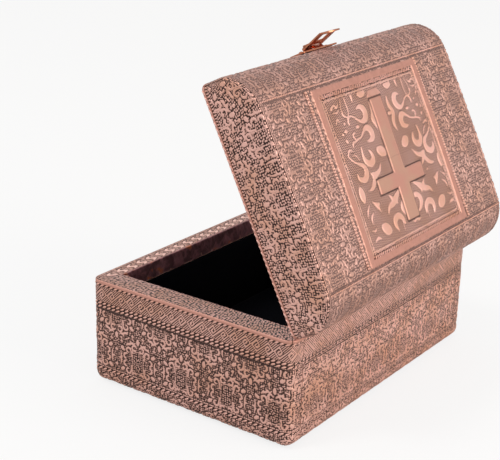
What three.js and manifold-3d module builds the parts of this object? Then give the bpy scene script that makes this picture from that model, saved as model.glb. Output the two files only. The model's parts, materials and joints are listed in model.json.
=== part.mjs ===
// Keepsake box: boards faced with embossed copper-toned sheet, a domed lid on two butt hinges,
// a swinging hasp latch and a velvet lining. Millimetres, +Z up. The origin is the centre of the
// underside, the front with the latch faces -Y, and the hinges are at the back, +Y.
import * as THREE from 'three';
import { mergeVertices } from 'three/addons/utils/BufferGeometryUtils.js';
import Module from 'manifold-3d';

const wasm = await Module();
wasm.setup();

// Whole box
const boxWidth = 177.8;
const boxDepth = 127;
const closedHeight = 88.9;
const baseHeightShare = 0.6592;
const partingGap = 1.2;
const lidOpenDegrees = 63;

// Sheet metal and the boards under it
const sheetThickness = 0.6;
const seatGap = 0.3;
const longBoardThickness = 8.2;
const endBoardThickness = 12.7;
const floorBoardThickness = 5;
const lidPanelThickness = 5.5;

// Base corners, the turned-under edge and the seams of the wall sheets
const baseCornerRadius = 5.5;
const baseBottomRadius = 5;
const cornerWrap = 10;
const bottomFlange = 8;

// Rim strips folded over the edges of the walls
const rimOuterFlange = 1.8;
const rimInnerFlange = 10;

// Lid outline
const lidWallShare = 0.3093;
const lidShoulderDepth = 20.5;
const lidCrown = 0.7;
const lidCornerRadius = 4;
const lidEndReturn = 1.2;
const shoulderSteps = 14;
const crownSteps = 8;

// Fabric
const feltThickness = 0.8;
const feltInset = 6;
const feltCornerRadius = 3;
const liningThickness = 0.8;
const padThickness = 2;

// The raised plaque on the front's right half, and the raised frame and cross on the lid
const plaqueFromCentre = 1.7;
const plaqueSideRoom = 0.5;
const plaqueHeightShare = 0.435;
const plaqueUpShare = 0.44;
const plaqueCornerRadius = 8;
const plaqueBorder = 2;
const plaqueBorderRise = 0.4;
const plaqueFieldRise = 0.2;
const frameWidth = 97;
const frameDepth = 89.7;
const frameFromCentre = 0.7;
const frameBand = 6;
const crossLength = 63.7;
const crossSpan = 44;
const crossUprightWidth = 11;
const crossArmWidth = 7.5;
const crossFootFromCentre = 30.95;
const crossArmsFromCentre = 11.5;
const lidRelief = 0.4;

// Hinges
const hingeInset = 0.45;
const hingeOutShare = 0.2812;
const hingeLength = 25;
const knuckleCount = 5;
const knuckleRadius = 1.2;
const knuckleGap = 0.3;
const knuckleBore = 0.62;
const pinRadius = 0.5;
const pinOverhang = 0.3;
const leafThickness = 0.4;
const leafDepth = 8;
const notchEndRoom = 0.5;
const screwSpacing = 15;
const screwFromAxis = 5;
const screwHeadRadius = 1.3;
const screwShankRadius = 0.8;
const screwLength = 6;
const fastenerClearance = 0.1;

// Latch
const plateWidth = 31;
const plateHeight = 9.6;
const plateThickness = 0.8;
const plateCornerRadius = 0.8;
const upperPlateRise = 0.8;
const lowerPlateDrop = 1.2;
const nailSpacing = 23;
const nailHeadRadius = 1.2;
const nailHeadHeight = 0.7;
const nailShankRadius = 0.5;
const nailLength = 7;
const bridgeWidth = 8;
const bridgeHeight = 3.6;
const bridgeWall = 0.7;
const bridgeFootInset = 0.3;
const bridgeLowFoot = 1.6;
const bridgeLowShoulder = 3;
const bridgeHighShoulder = 6.9;
const pivotHeight = 5;
const pivotStandOff = 1.5;
const haspBarRadius = 0.8;
const haspWidth = 15;
const haspThickness = 0.8;
const haspUpperWindowWidth = 9.2;
const haspUpperWindowEnd = 3.6;
const haspWindowWidth = 6.8;
const haspWindowStart = 6;
const haspWindowEnd = 12;
const haspLength = 13.2;
const lipLength = 5.5;
const lipFlareDegrees = 27;
const haspOpenDegrees = 162;
const catchWidth = 5.6;
const catchRadius = 2.6;
const catchWall = 0.8;
const catchTipFromPivot = 9;

// Facets, and how far cutting shapes reach past what they cut
const roundSteps = 16;
const cornerSteps = 6;
const overrun = 3;

// Places that follow from the sizes above
const halfWidth = boxWidth / 2;
const halfDepth = boxDepth / 2;
const baseHeight = closedHeight * baseHeightShare;
const lidRimZ = baseHeight + partingGap;
const lidHeight = closedHeight - lidRimZ;
const lidWallHeight = lidHeight * lidWallShare;
const frontSheetEnd = halfWidth - cornerWrap - seatGap;
const plaqueWidth = frontSheetEnd - plaqueSideRoom - plaqueFromCentre;
const plaqueCentreX = plaqueFromCentre + plaqueWidth / 2;
const plaqueHeight = baseHeight * plaqueHeightShare;
const plaqueCentreUp = baseHeight * plaqueUpShare;
const hingeOut = boxWidth * hingeOutShare;
const hingeY = halfDepth - hingeInset;
const hingeZ = baseHeight + partingGap / 2;
const boardInset = sheetThickness + seatGap;
const longBoardInner = halfDepth - boardInset - longBoardThickness;
const endBoardInner = halfWidth - boardInset - endBoardThickness;
const rimInnerY = longBoardInner - seatGap - sheetThickness;
const rimInnerX = endBoardInner - seatGap - sheetThickness;
const bottomZ = feltThickness;
const boardBottomZ = bottomZ + boardInset;
const floorTopZ = boardBottomZ + floorBoardThickness;
const wallSheetTopZ = baseHeight - rimOuterFlange - seatGap;
const lidWallSheetZ = lidRimZ + rimOuterFlange + seatGap;
const liningInnerY = longBoardInner - seatGap - liningThickness;
const liningInnerX = endBoardInner - seatGap - liningThickness;
const lidPanelZ = closedHeight - boardInset - lidPanelThickness;
const lidCeilingZ = lidPanelZ - seatGap - liningThickness;
const plateBackY = -halfDepth - seatGap;
const plateFrontY = plateBackY - plateThickness;
const pivotY = plateFrontY - pivotStandOff;
const pivotZ = lidRimZ + pivotHeight;

// Materials
const copperSheet = new THREE.MeshStandardMaterial({ color: 0xb9806f, roughness: 0.45, metalness: 0.8 });
const copperPlain = new THREE.MeshStandardMaterial({ color: 0xc98a72, roughness: 0.3, metalness: 0.9 });
const latchMetal = new THREE.MeshStandardMaterial({ color: 0xd9a07e, roughness: 0.28, metalness: 0.95 });
const hingeMetal = new THREE.MeshStandardMaterial({ color: 0xb8925a, roughness: 0.35, metalness: 0.95 });
const boardWood = new THREE.MeshStandardMaterial({ color: 0xa67c52, roughness: 0.8, metalness: 0 });
const blackVelvet = new THREE.MeshStandardMaterial({ color: 0x0b0b0e, roughness: 1, metalness: 0 });
const baseFelt = new THREE.MeshStandardMaterial({ color: 0x1a1a1c, roughness: 1, metalness: 0 });

// Turns a closed geometry into a solid for cutting and joining.
function toSolid(geometry) {
  const bare = geometry.clone();
  bare.deleteAttribute('normal');
  bare.deleteAttribute('uv');
  const merged = mergeVertices(bare);
  return new wasm.Manifold(new wasm.Mesh({
    numProp: 3,
    vertProperties: new Float32Array(merged.attributes.position.array),
    triVerts: new Uint32Array(merged.index.array),
  }));
}

// Turns a solid back into a geometry.
function toGeometry(solid) {
  const mesh = solid.getMesh();
  const geometry = new THREE.BufferGeometry();
  geometry.setAttribute('position', new THREE.BufferAttribute(mesh.vertProperties, 3));
  geometry.setIndex(new THREE.BufferAttribute(mesh.triVerts, 1));
  geometry.computeVertexNormals();
  return geometry;
}

// A rectangular block between two limits along each axis.
function block(fromX, toX, fromY, toY, fromZ, toZ) {
  const geometry = new THREE.BoxGeometry(toX - fromX, toY - fromY, toZ - fromZ);
  geometry.translate((fromX + toX) / 2, (fromY + toY) / 2, (fromZ + toZ) / 2);
  return toSolid(geometry);
}

// An outline in (y, z), swept along X.
function sweptAlongX(shape, fromX, toX) {
  const geometry = new THREE.ExtrudeGeometry(shape, { depth: toX - fromX, bevelEnabled: false });
  const yAxis = new THREE.Vector3(0, 1, 0);
  const zAxis = new THREE.Vector3(0, 0, 1);
  const xAxis = new THREE.Vector3(1, 0, 0);
  geometry.applyMatrix4(new THREE.Matrix4().makeBasis(yAxis, zAxis, xAxis));
  geometry.translate(fromX, 0, 0);
  return toSolid(geometry);
}

// An outline in (x, z), swept from one Y towards -Y.
function sweptForward(shape, fromY, length) {
  const geometry = new THREE.ExtrudeGeometry(shape, { depth: length, bevelEnabled: false });
  geometry.rotateX(Math.PI / 2);
  geometry.translate(0, fromY, 0);
  return toSolid(geometry);
}

// An outline in (x, y), swept up from one Z to another.
function sweptUp(shape, fromZ, toZ) {
  const geometry = new THREE.ExtrudeGeometry(shape, { depth: toZ - fromZ, bevelEnabled: false });
  geometry.translate(0, 0, fromZ);
  return toSolid(geometry);
}

// The points of a rectangle with round corners about a centre, anticlockwise.
function roundedOutline(width, height, radius, centreX, centreY) {
  const points = [];
  for (const [sideX, sideY, turn] of [[1, -1, -1], [1, 1, 0], [-1, 1, 1], [-1, -1, 2]]) {
    const cornerX = centreX + sideX * (width / 2 - radius);
    const cornerY = centreY + sideY * (height / 2 - radius);
    for (let step = 0; step <= cornerSteps; step += 1) {
      const angle = (turn + step / cornerSteps) * (Math.PI / 2);
      points.push(new THREE.Vector2(cornerX + radius * Math.cos(angle), cornerY + radius * Math.sin(angle)));
    }
  }
  return points;
}

// The same rectangle as a shape to sweep.
function roundedRectangle(width, height, radius, centreX, centreY) {
  return new THREE.Shape(roundedOutline(width, height, radius, centreX, centreY));
}

// A round bar along X, centred on a point.
function barAlongX(radius, fromX, toX, y, z) {
  const geometry = new THREE.CylinderGeometry(radius, radius, toX - fromX, roundSteps);
  geometry.rotateZ(Math.PI / 2);
  geometry.translate((fromX + toX) / 2, y, z);
  return toSolid(geometry);
}

// A closed skin through rings of equal point counts, with flat ends.
function loft(rings) {
  const count = rings[0].length;
  const positions = [];
  const indices = [];
  for (const ring of rings) {
    for (const point of ring) positions.push(point.x, point.y, point.z);
  }
  for (let level = 0; level + 1 < rings.length; level += 1) {
    for (let k = 0; k < count; k += 1) {
      const a = level * count + k;
      const b = level * count + ((k + 1) % count);
      indices.push(a, b, b + count, a, b + count, a + count);
    }
  }
  const top = (rings.length - 1) * count;
  for (let k = 1; k + 1 < count; k += 1) {
    indices.push(0, k + 1, k);
    indices.push(top, top + k, top + k + 1);
  }
  const geometry = new THREE.BufferGeometry();
  geometry.setAttribute('position', new THREE.Float32BufferAttribute(positions, 3));
  geometry.setIndex(indices);
  return toSolid(geometry);
}

// A block with round upright corners and a round bottom edge.
function roundedBlock(halfX, halfY, fromZ, toZ, cornerRadius, bottomRadius) {
  const ringAt = (inset, z) => roundedOutline(
    2 * (halfX - inset), 2 * (halfY - inset), cornerRadius - inset, 0, 0,
  ).map((point) => new THREE.Vector3(point.x, point.y, z));
  const rings = [];
  for (let step = 0; step <= cornerSteps; step += 1) {
    const angle = (step / cornerSteps) * (Math.PI / 2);
    rings.push(ringAt(bottomRadius * (1 - Math.sin(angle)), fromZ + bottomRadius * (1 - Math.cos(angle))));
  }
  rings.push(ringAt(0, toZ));
  return loft(rings);
}

// The base's outer form, drawn in by an inset on every side.
function baseForm(inset, toZ) {
  return roundedBlock(
    halfWidth - inset, halfDepth - inset, bottomZ + inset, toZ,
    baseCornerRadius - inset, baseBottomRadius - inset,
  );
}

// The lid's end outline when closed, drawn in by an inset: upright walls, elliptical shoulders and
// a slight crown.
function lidOutline(inset) {
  const edge = halfDepth - inset;
  const shoulderZ = lidRimZ + lidWallHeight;
  const shoulderDepth = lidShoulderDepth - inset;
  const shoulderHeight = lidHeight - lidWallHeight - lidCrown - inset;
  const front = [];
  for (let step = 0; step <= shoulderSteps; step += 1) {
    const angle = (step / shoulderSteps) * (Math.PI / 2);
    front.push([-edge + shoulderDepth * (1 - Math.cos(angle)), shoulderZ + shoulderHeight * Math.sin(angle)]);
  }
  const flatHalf = edge - shoulderDepth;
  const crown = [];
  for (let step = 1; step < crownSteps; step += 1) {
    const across = (2 * step) / crownSteps - 1;
    crown.push([across * flatHalf, shoulderZ + shoulderHeight + lidCrown * (1 - across * across)]);
  }
  const back = front.map(([y, z]) => [-y, z]).reverse();
  return [...front, ...crown, ...back];
}

// The lid's outer form when closed, drawn in by an inset on every side but the rim.
function lidForm(inset, fromZ) {
  const outline = [[-halfDepth + inset, fromZ], ...lidOutline(inset), [halfDepth - inset, fromZ]];
  const shape = new THREE.Shape(outline.map(([y, z]) => new THREE.Vector2(y, z)).reverse());
  const across = halfWidth - inset;
  const plan = roundedRectangle(2 * across, boxDepth - 2 * inset, lidCornerRadius - inset, 0, 0);
  const column = sweptUp(plan, fromZ - overrun, closedHeight + overrun);
  return sweptAlongX(shape, -across, across).intersect(column);
}

// Places of the two hinges and of the screws along each hinge.
const hingeSides = [['left', -1], ['right', 1]];
const screwPlaces = [['outer', 1], ['inner', -1]];
const screwX = (side, place) => side * (hingeOut + (place * screwSpacing) / 2);
const screwY = hingeY - screwFromAxis;

// A countersunk screw pointing along +Z or -Z from the face of its leaf, with a clearance added all round.
function screwForm(x, faceZ, direction, clearance) {
  const profile = [
    new THREE.Vector2(0, 0),
    new THREE.Vector2(screwHeadRadius + clearance, 0),
    new THREE.Vector2(screwShankRadius + clearance, leafThickness),
    new THREE.Vector2(screwShankRadius + clearance, screwLength + clearance),
    new THREE.Vector2(0, screwLength + clearance),
  ];
  const geometry = new THREE.LatheGeometry(profile, roundSteps);
  geometry.rotateX(direction * Math.PI / 2);
  geometry.translate(x, screwY, faceZ);
  return orient(geometry);
}

// A lathe's faces point in or out by the way its outline runs, so the solid with positive volume
// is kept.
function orient(geometry) {
  const solid = toSolid(geometry);
  if (solid.volume() > 0) return solid;
  const turned = geometry.clone();
  turned.index.array.reverse();
  return toSolid(turned);
}

const baseLeafFaceZ = baseHeight + leafThickness;
const lidLeafFaceZ = lidRimZ - seatGap - leafThickness;

// Takes the hinge screws' holes out of a solid on the base or on the lid.
function drillForScrews(solid, faceZ, direction) {
  let drilled = solid;
  for (const [, side] of hingeSides) {
    for (const [, place] of screwPlaces) {
      drilled = drilled.subtract(screwForm(screwX(side, place), faceZ, direction, fastenerClearance));
    }
  }
  return drilled;
}

// Takes the room for the hinge barrels out of a rim strip.
function notchForBarrels(solid, fromZ, toZ) {
  let notched = solid;
  const reach = hingeLength / 2 + notchEndRoom;
  const innerY = hingeY - knuckleRadius - seatGap;
  for (const [, side] of hingeSides) {
    const centre = side * hingeOut;
    const room = block(centre - reach, centre + reach, innerY, halfDepth + overrun, fromZ, toZ);
    notched = notched.subtract(room);
  }
  return notched;
}

// A nail pointing back along +Y, with a domed head on the plate's face, with a clearance added all round.
const nailPlaces = [['left', -1], ['right', 1]];
const nailX = (side) => (side * nailSpacing) / 2;
const upperNailZ = lidRimZ + upperPlateRise + plateHeight / 2;
const lowerNailZ = baseHeight - lowerPlateDrop - plateHeight / 2;

function nailForm(x, z, clearance) {
  const headBase = fastenerClearance;
  const profile = [new THREE.Vector2(0, -headBase - nailHeadHeight)];
  for (let step = 1; step <= cornerSteps; step += 1) {
    const angle = (step / cornerSteps) * (Math.PI / 2);
    profile.push(new THREE.Vector2(
      nailHeadRadius * Math.sin(angle), -headBase - nailHeadHeight * Math.cos(angle),
    ));
  }
  profile.push(new THREE.Vector2(nailShankRadius + clearance, -headBase));
  profile.push(new THREE.Vector2(nailShankRadius + clearance, nailLength + clearance));
  profile.push(new THREE.Vector2(0, nailLength + clearance));
  const geometry = new THREE.LatheGeometry(profile, roundSteps);
  geometry.translate(x, plateFrontY, z);
  return orient(geometry);
}

// Takes the latch nails' holes out of a solid.
function drillForNails(solid, z) {
  let drilled = solid;
  for (const [, side] of nailPlaces) drilled = drilled.subtract(nailForm(nailX(side), z, fastenerClearance));
  return drilled;
}

const base = new THREE.Group();
const lid = new THREE.Group();
lid.position.set(0, hingeY, hingeZ);
lid.rotation.x = THREE.MathUtils.degToRad(-lidOpenDegrees);
const hasp = new THREE.Group();
hasp.position.set(0, pivotY - hingeY, pivotZ - hingeZ);
hasp.rotation.x = THREE.MathUtils.degToRad(-haspOpenDegrees);
lid.add(hasp);

// Adds a solid, made where it lies in the closed box, to the group that carries it.
function add(group, name, solid, material) {
  const geometry = toGeometry(solid);
  if (group === lid) geometry.translate(0, -hingeY, -hingeZ);
  if (group === hasp) geometry.translate(0, -pivotY, -pivotZ);
  const mesh = new THREE.Mesh(geometry, material);
  mesh.name = name;
  group.add(mesh);
}

// The four walls' boards of the base, with the long ones running past the short ones, and the floor board.
function addBaseBoards() {
  const boardTop = baseHeight - boardInset;
  const form = baseForm(boardInset, boardTop);
  const reachX = halfWidth + overrun;
  const reachY = halfDepth + overrun;
  const front = form.intersect(block(-reachX, reachX, -reachY, -longBoardInner, 0, baseHeight));
  const back = form.intersect(block(-reachX, reachX, longBoardInner, reachY, 0, baseHeight));
  add(base, 'base_front_board', drillForNails(front, lowerNailZ), boardWood);
  add(base, 'base_back_board', drillForScrews(back, baseLeafFaceZ, -1), boardWood);
  const endY = longBoardInner - seatGap;
  const right = form.intersect(block(endBoardInner, reachX, -endY, endY, 0, baseHeight));
  const left = form.intersect(block(-reachX, -endBoardInner, -endY, endY, 0, baseHeight));
  add(base, 'base_right_board', right, boardWood);
  add(base, 'base_left_board', left, boardWood);
  const floorX = endBoardInner - seatGap;
  const floor = block(-floorX, floorX, -endY, endY, boardBottomZ, floorTopZ);
  add(base, 'base_floor_board', floor, boardWood);
}

// The raised plaque on the front sheet: a border and a lower field.
function plaqueForm() {
  const outer = roundedRectangle(
    plaqueWidth, plaqueHeight, plaqueCornerRadius, plaqueCentreX, plaqueCentreUp,
  );
  const inner = roundedRectangle(
    plaqueWidth - 2 * plaqueBorder, plaqueHeight - 2 * plaqueBorder,
    plaqueCornerRadius - plaqueBorder, plaqueCentreX, plaqueCentreUp,
  );
  const root = -halfDepth + sheetThickness / 2;
  const border = sweptForward(outer, root, sheetThickness / 2 + plaqueBorderRise);
  const cut = sweptForward(inner, -halfDepth - plaqueFieldRise, plaqueBorderRise);
  return border.subtract(cut);
}

// The embossed wall sheets of the base. The end sheets turn both corners, and all four turn under the bottom.
function addBaseSheets() {
  const windowX = halfWidth - bottomFlange;
  const windowY = halfDepth - bottomFlange;
  const shell = baseForm(0, wallSheetTopZ)
    .subtract(baseForm(sheetThickness, baseHeight))
    .subtract(block(-windowX, windowX, -windowY, windowY, 0, floorTopZ));
  const reachX = halfWidth + overrun;
  const reachY = halfDepth + overrun;
  const seamX = halfWidth - cornerWrap;
  const right = shell.intersect(block(seamX, reachX, -reachY, reachY, 0, baseHeight));
  const left = shell.intersect(block(-reachX, -seamX, -reachY, reachY, 0, baseHeight));
  add(base, 'base_right_sheet', right, copperSheet);
  add(base, 'base_left_sheet', left, copperSheet);
  const front = shell.intersect(block(-frontSheetEnd, frontSheetEnd, -reachY, 0, 0, baseHeight))
    .add(plaqueForm());
  const back = shell.intersect(block(-frontSheetEnd, frontSheetEnd, 0, reachY, 0, baseHeight));
  add(base, 'base_front_sheet', drillForNails(front, lowerNailZ), copperSheet);
  add(base, 'base_back_sheet', back, copperSheet);
}

// A three-sided prism that takes one side's share of the rim, mitred from the outer to the inner corner.
function mitreWedge(side, fromZ, toZ) {
  const slopeX = halfWidth - rimInnerX;
  const slopeY = halfDepth - rimInnerY;
  const far = overrun / Math.min(slopeX, slopeY);
  const outer = (share) => [halfWidth + slopeX * share, halfDepth + slopeY * share];
  const [outX, outY] = outer(far);
  const [inX, inY] = outer(-1 - far);
  const gap = seatGap;
  const corners = {
    front: [[-outX + gap, -outY], [outX - gap, -outY], [inX - gap, -inY], [-inX + gap, -inY]],
    back: [[-inX + gap, inY], [inX - gap, inY], [outX - gap, outY], [-outX + gap, outY]],
    right: [[inX, -inY], [outX, -outY], [outX, outY], [inX, inY]],
    left: [[-outX, -outY], [-inX, -inY], [-inX, inY], [-outX, outY]],
  }[side];
  return sweptUp(new THREE.Shape(corners.map(([x, y]) => new THREE.Vector2(x, y))), fromZ, toZ);
}

// A ring that folds over the top of the walls: a narrow outer flange, a flat web and a deep inner flange.
// The plan is the same for the base and the lid, and the lid's ring is turned over.
function rimRing(cornerRadius, faceZ, inward) {
  const level = (depth) => faceZ + inward * depth;
  const between = (shape, from, to) => sweptUp(
    shape, Math.min(level(from), level(to)), Math.max(level(from), level(to)),
  );
  const plan = (inset) => roundedRectangle(
    boxWidth - 2 * inset, boxDepth - 2 * inset, cornerRadius - inset, 0, 0,
  );
  const hole = (outset) => roundedRectangle(
    2 * (rimInnerX + outset), 2 * (rimInnerY + outset), seatGap + outset, 0, 0,
  );
  const outerBody = between(plan(0), 0, rimInnerFlange);
  const throughHole = between(hole(0), -overrun, rimInnerFlange + overrun);
  const boardRoom = between(plan(sheetThickness), sheetThickness, rimInnerFlange + overrun)
    .subtract(between(hole(sheetThickness), 0, rimInnerFlange + overrun));
  const underFlange = between(plan(-overrun), rimOuterFlange, rimInnerFlange + overrun)
    .subtract(between(plan(sheetThickness), 0, rimInnerFlange + overrun));
  return outerBody.subtract(throughHole).subtract(boardRoom).subtract(underFlange);
}

// The four mitred rim strips of the base or of the lid.
function addRim(group, prefix, cornerRadius, faceZ, inward, leafFaceZ) {
  const ring = rimRing(cornerRadius, faceZ, inward);
  const lowZ = faceZ - rimInnerFlange - overrun;
  const highZ = faceZ + rimInnerFlange + overrun;
  const notchEnds = [faceZ + inward * (sheetThickness + seatGap), faceZ - inward * overrun];
  for (const side of ['front', 'back', 'left', 'right']) {
    let strip = ring.intersect(mitreWedge(side, lowZ, highZ));
    if (side === 'back') {
      strip = notchForBarrels(strip, Math.min(...notchEnds), Math.max(...notchEnds));
      strip = drillForScrews(strip, leafFaceZ, inward);
    }
    add(group, `${prefix}_rim_${side}`, strip, copperPlain);
  }
}

// Velvet on the inside of the walls, between a floor and the lower edge of the rim's inner flange.
function addWallLinings(group, prefix, fromZ, toZ) {
  const outerY = longBoardInner - seatGap;
  const outerX = endBoardInner - seatGap;
  const endY = liningInnerY - seatGap;
  const front = block(-outerX, outerX, -outerY, -liningInnerY, fromZ, toZ);
  const back = block(-outerX, outerX, liningInnerY, outerY, fromZ, toZ);
  const left = block(-outerX, -liningInnerX, -endY, endY, fromZ, toZ);
  const right = block(liningInnerX, outerX, -endY, endY, fromZ, toZ);
  add(group, `${prefix}_lining_front`, front, blackVelvet);
  add(group, `${prefix}_lining_back`, back, blackVelvet);
  add(group, `${prefix}_lining_left`, left, blackVelvet);
  add(group, `${prefix}_lining_right`, right, blackVelvet);
}

// The velvet linings, the padded floor and the felt under the box.
function addFabric() {
  const padBottom = floorTopZ + seatGap;
  addWallLinings(base, 'base', padBottom, baseHeight - rimInnerFlange - seatGap);
  const padX = liningInnerX - seatGap;
  const padY = liningInnerY - seatGap;
  add(base, 'base_pad', block(-padX, padX, -padY, padY, padBottom, padBottom + padThickness), blackVelvet);
  const felt = roundedRectangle(boxWidth - 2 * feltInset, boxDepth - 2 * feltInset, feltCornerRadius, 0, 0);
  add(base, 'base_felt', sweptUp(felt, 0, feltThickness), baseFelt);
  addWallLinings(lid, 'lid', lidRimZ + rimInnerFlange + seatGap, lidCeilingZ - seatGap);
  const ceilingX = endBoardInner - seatGap;
  const ceilingY = longBoardInner - seatGap;
  const ceiling = block(-ceilingX, ceilingX, -ceilingY, ceilingY, lidCeilingZ, lidCeilingZ + liningThickness);
  add(lid, 'lid_lining_top', ceiling, blackVelvet);
}

// The lid's boards: shaped ends, two moulded rails along the front and back, and a panel on top of them.
function addLidBoards() {
  const form = lidForm(boardInset, lidRimZ + boardInset);
  const reachX = halfWidth + overrun;
  const reachY = halfDepth + overrun;
  const top = closedHeight + overrun;
  const right = block(endBoardInner, reachX, -reachY, reachY, lidRimZ, top);
  const left = block(-reachX, -endBoardInner, -reachY, reachY, lidRimZ, top);
  add(lid, 'lid_right_board', form.intersect(right), boardWood);
  add(lid, 'lid_left_board', form.intersect(left), boardWood);
  const railX = endBoardInner - seatGap;
  const railTop = lidPanelZ - seatGap;
  const front = form.intersect(block(-railX, railX, -reachY, -longBoardInner, lidRimZ, railTop));
  const back = form.intersect(block(-railX, railX, longBoardInner, reachY, lidRimZ, railTop));
  add(lid, 'lid_front_rail', drillForNails(front, upperNailZ), boardWood);
  add(lid, 'lid_back_rail', drillForScrews(back, lidLeafFaceZ, 1), boardWood);
  const panel = form.intersect(block(-railX, railX, -reachY, reachY, lidPanelZ, top));
  add(lid, 'lid_top_panel', panel, boardWood);
}

// The raised frame and Latin cross on the lid, as a prism that the raised skin is cut with.
function lidMotifPrism() {
  const low = closedHeight - lidCrown - lidPanelThickness;
  const high = closedHeight + overrun;
  const outerFrame = roundedRectangle(frameWidth, frameDepth, sheetThickness, 0, frameFromCentre);
  const innerFrame = roundedRectangle(
    frameWidth - 2 * frameBand, frameDepth - 2 * frameBand, sheetThickness, 0, frameFromCentre,
  );
  const frame = sweptUp(outerFrame, low, high).subtract(sweptUp(innerFrame, low - overrun, high + overrun));
  const upright = block(
    -crossUprightWidth / 2, crossUprightWidth / 2,
    -crossFootFromCentre, crossLength - crossFootFromCentre, low, high,
  );
  const arms = block(
    -crossSpan / 2, crossSpan / 2,
    crossArmsFromCentre - crossArmWidth / 2, crossArmsFromCentre + crossArmWidth / 2, low, high,
  );
  return frame.add(upright).add(arms);
}

// The embossed sheets of the lid: one over the front, top and back, and one over each end.
function addLidSheets() {
  const shell = lidForm(0, lidWallSheetZ).subtract(lidForm(sheetThickness, lidRimZ));
  const reachX = halfWidth + overrun;
  const reachY = halfDepth + overrun;
  const top = closedHeight + overrun;
  const seamX = halfWidth - lidEndReturn;
  const coverX = seamX - seatGap;
  const raised = lidForm(-lidRelief, lidRimZ).subtract(lidForm(sheetThickness / 2, lidRimZ - overrun));
  const cover = shell.intersect(block(-coverX, coverX, -reachY, reachY, lidRimZ, top))
    .add(raised.intersect(lidMotifPrism()));
  add(lid, 'lid_top_sheet', drillForNails(cover, upperNailZ), copperSheet);
  const right = shell.intersect(block(seamX, reachX, -reachY, reachY, lidRimZ, top));
  const left = shell.intersect(block(-reachX, -seamX, -reachY, reachY, lidRimZ, top));
  add(lid, 'lid_right_sheet', right, copperSheet);
  add(lid, 'lid_left_sheet', left, copperSheet);
}

// One hinge leaf: a plate on the rim and every second knuckle of the barrel. The other leaf's
// knuckles take their room out of the plate.
function leafForm(centreX, plateFromZ, firstKnuckle) {
  const start = centreX - hingeLength / 2;
  const end = start + hingeLength;
  const pitch = hingeLength / knuckleCount;
  const innerY = hingeY - knuckleRadius - seatGap;
  const reach = knuckleRadius + overrun;
  let leaf = block(start, end, hingeY - leafDepth, hingeY, plateFromZ, plateFromZ + leafThickness);
  for (let k = 0; k < knuckleCount; k += 1) {
    const from = start + k * pitch;
    const to = from + pitch;
    if (k % 2 === firstKnuckle) {
      const ownFrom = Math.max(start, from + knuckleGap / 2 - (k === 0 ? knuckleGap : 0));
      const ownTo = Math.min(end, to - knuckleGap / 2 + (k + 1 === knuckleCount ? knuckleGap : 0));
      leaf = leaf.add(barAlongX(knuckleRadius, ownFrom, ownTo, hingeY, hingeZ));
    } else {
      const roomFrom = from - knuckleGap / 2;
      const roomTo = to + knuckleGap / 2;
      leaf = leaf.subtract(block(roomFrom, roomTo, innerY, hingeY + reach, hingeZ - reach, hingeZ + reach));
    }
  }
  return leaf.subtract(barAlongX(knuckleBore, start - overrun, end + overrun, hingeY, hingeZ));
}

// Both hinges, each with two leaves, a pin and four screws.
function addHinges() {
  for (const [name, side] of hingeSides) {
    const centre = side * hingeOut;
    const baseLeaf = drillForScrews(leafForm(centre, baseHeight, 0), baseLeafFaceZ, -1);
    const lidLeaf = drillForScrews(leafForm(centre, lidLeafFaceZ, 1), lidLeafFaceZ, 1);
    add(base, `hinge_${name}_base_leaf`, baseLeaf, hingeMetal);
    add(lid, `hinge_${name}_lid_leaf`, lidLeaf, hingeMetal);
    const reach = hingeLength / 2 + pinOverhang;
    const pin = barAlongX(pinRadius, centre - reach, centre + reach, hingeY, hingeZ);
    add(base, `hinge_${name}_pin`, pin, hingeMetal);
    for (const [placeName, place] of screwPlaces) {
      const x = screwX(side, place);
      add(base, `hinge_${name}_base_screw_${placeName}`, screwForm(x, baseLeafFaceZ, -1, 0), hingeMetal);
      add(lid, `hinge_${name}_lid_screw_${placeName}`, screwForm(x, lidLeafFaceZ, 1, 0), hingeMetal);
    }
  }
}

// A latch plate with round corners, lying against the front.
function plateForm(lowZ) {
  const outline = roundedRectangle(plateWidth, plateHeight, plateCornerRadius, 0, lowZ + plateHeight / 2);
  return sweptForward(outline, plateBackY, plateThickness);
}

// The bridge over the hasp's bar: a folded strip standing on the upper plate, open at both ends.
function bridgeForm() {
  const lowFoot = lidRimZ + bridgeLowFoot;
  const highFoot = lidRimZ + upperPlateRise + plateHeight - bridgeFootInset;
  const root = plateFrontY + plateThickness / 2;
  const face = plateFrontY - bridgeHeight;
  const outer = new THREE.Shape([
    new THREE.Vector2(root, lowFoot),
    new THREE.Vector2(root, highFoot),
    new THREE.Vector2(plateFrontY, highFoot),
    new THREE.Vector2(face, lidRimZ + bridgeHighShoulder),
    new THREE.Vector2(face, lidRimZ + bridgeLowShoulder),
    new THREE.Vector2(plateFrontY, lowFoot),
  ]);
  const tunnel = new THREE.Shape([
    new THREE.Vector2(plateFrontY, highFoot - 2 * bridgeWall),
    new THREE.Vector2(face + bridgeWall, lidRimZ + bridgeHighShoulder - bridgeWall / 2),
    new THREE.Vector2(face + bridgeWall, lidRimZ + bridgeLowShoulder + bridgeWall / 2),
    new THREE.Vector2(plateFrontY, lowFoot + bridgeWall),
  ]);
  const reach = bridgeWidth / 2;
  return sweptAlongX(outer, -reach, reach).subtract(sweptAlongX(tunnel, -reach - overrun, reach + overrun));
}

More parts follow.
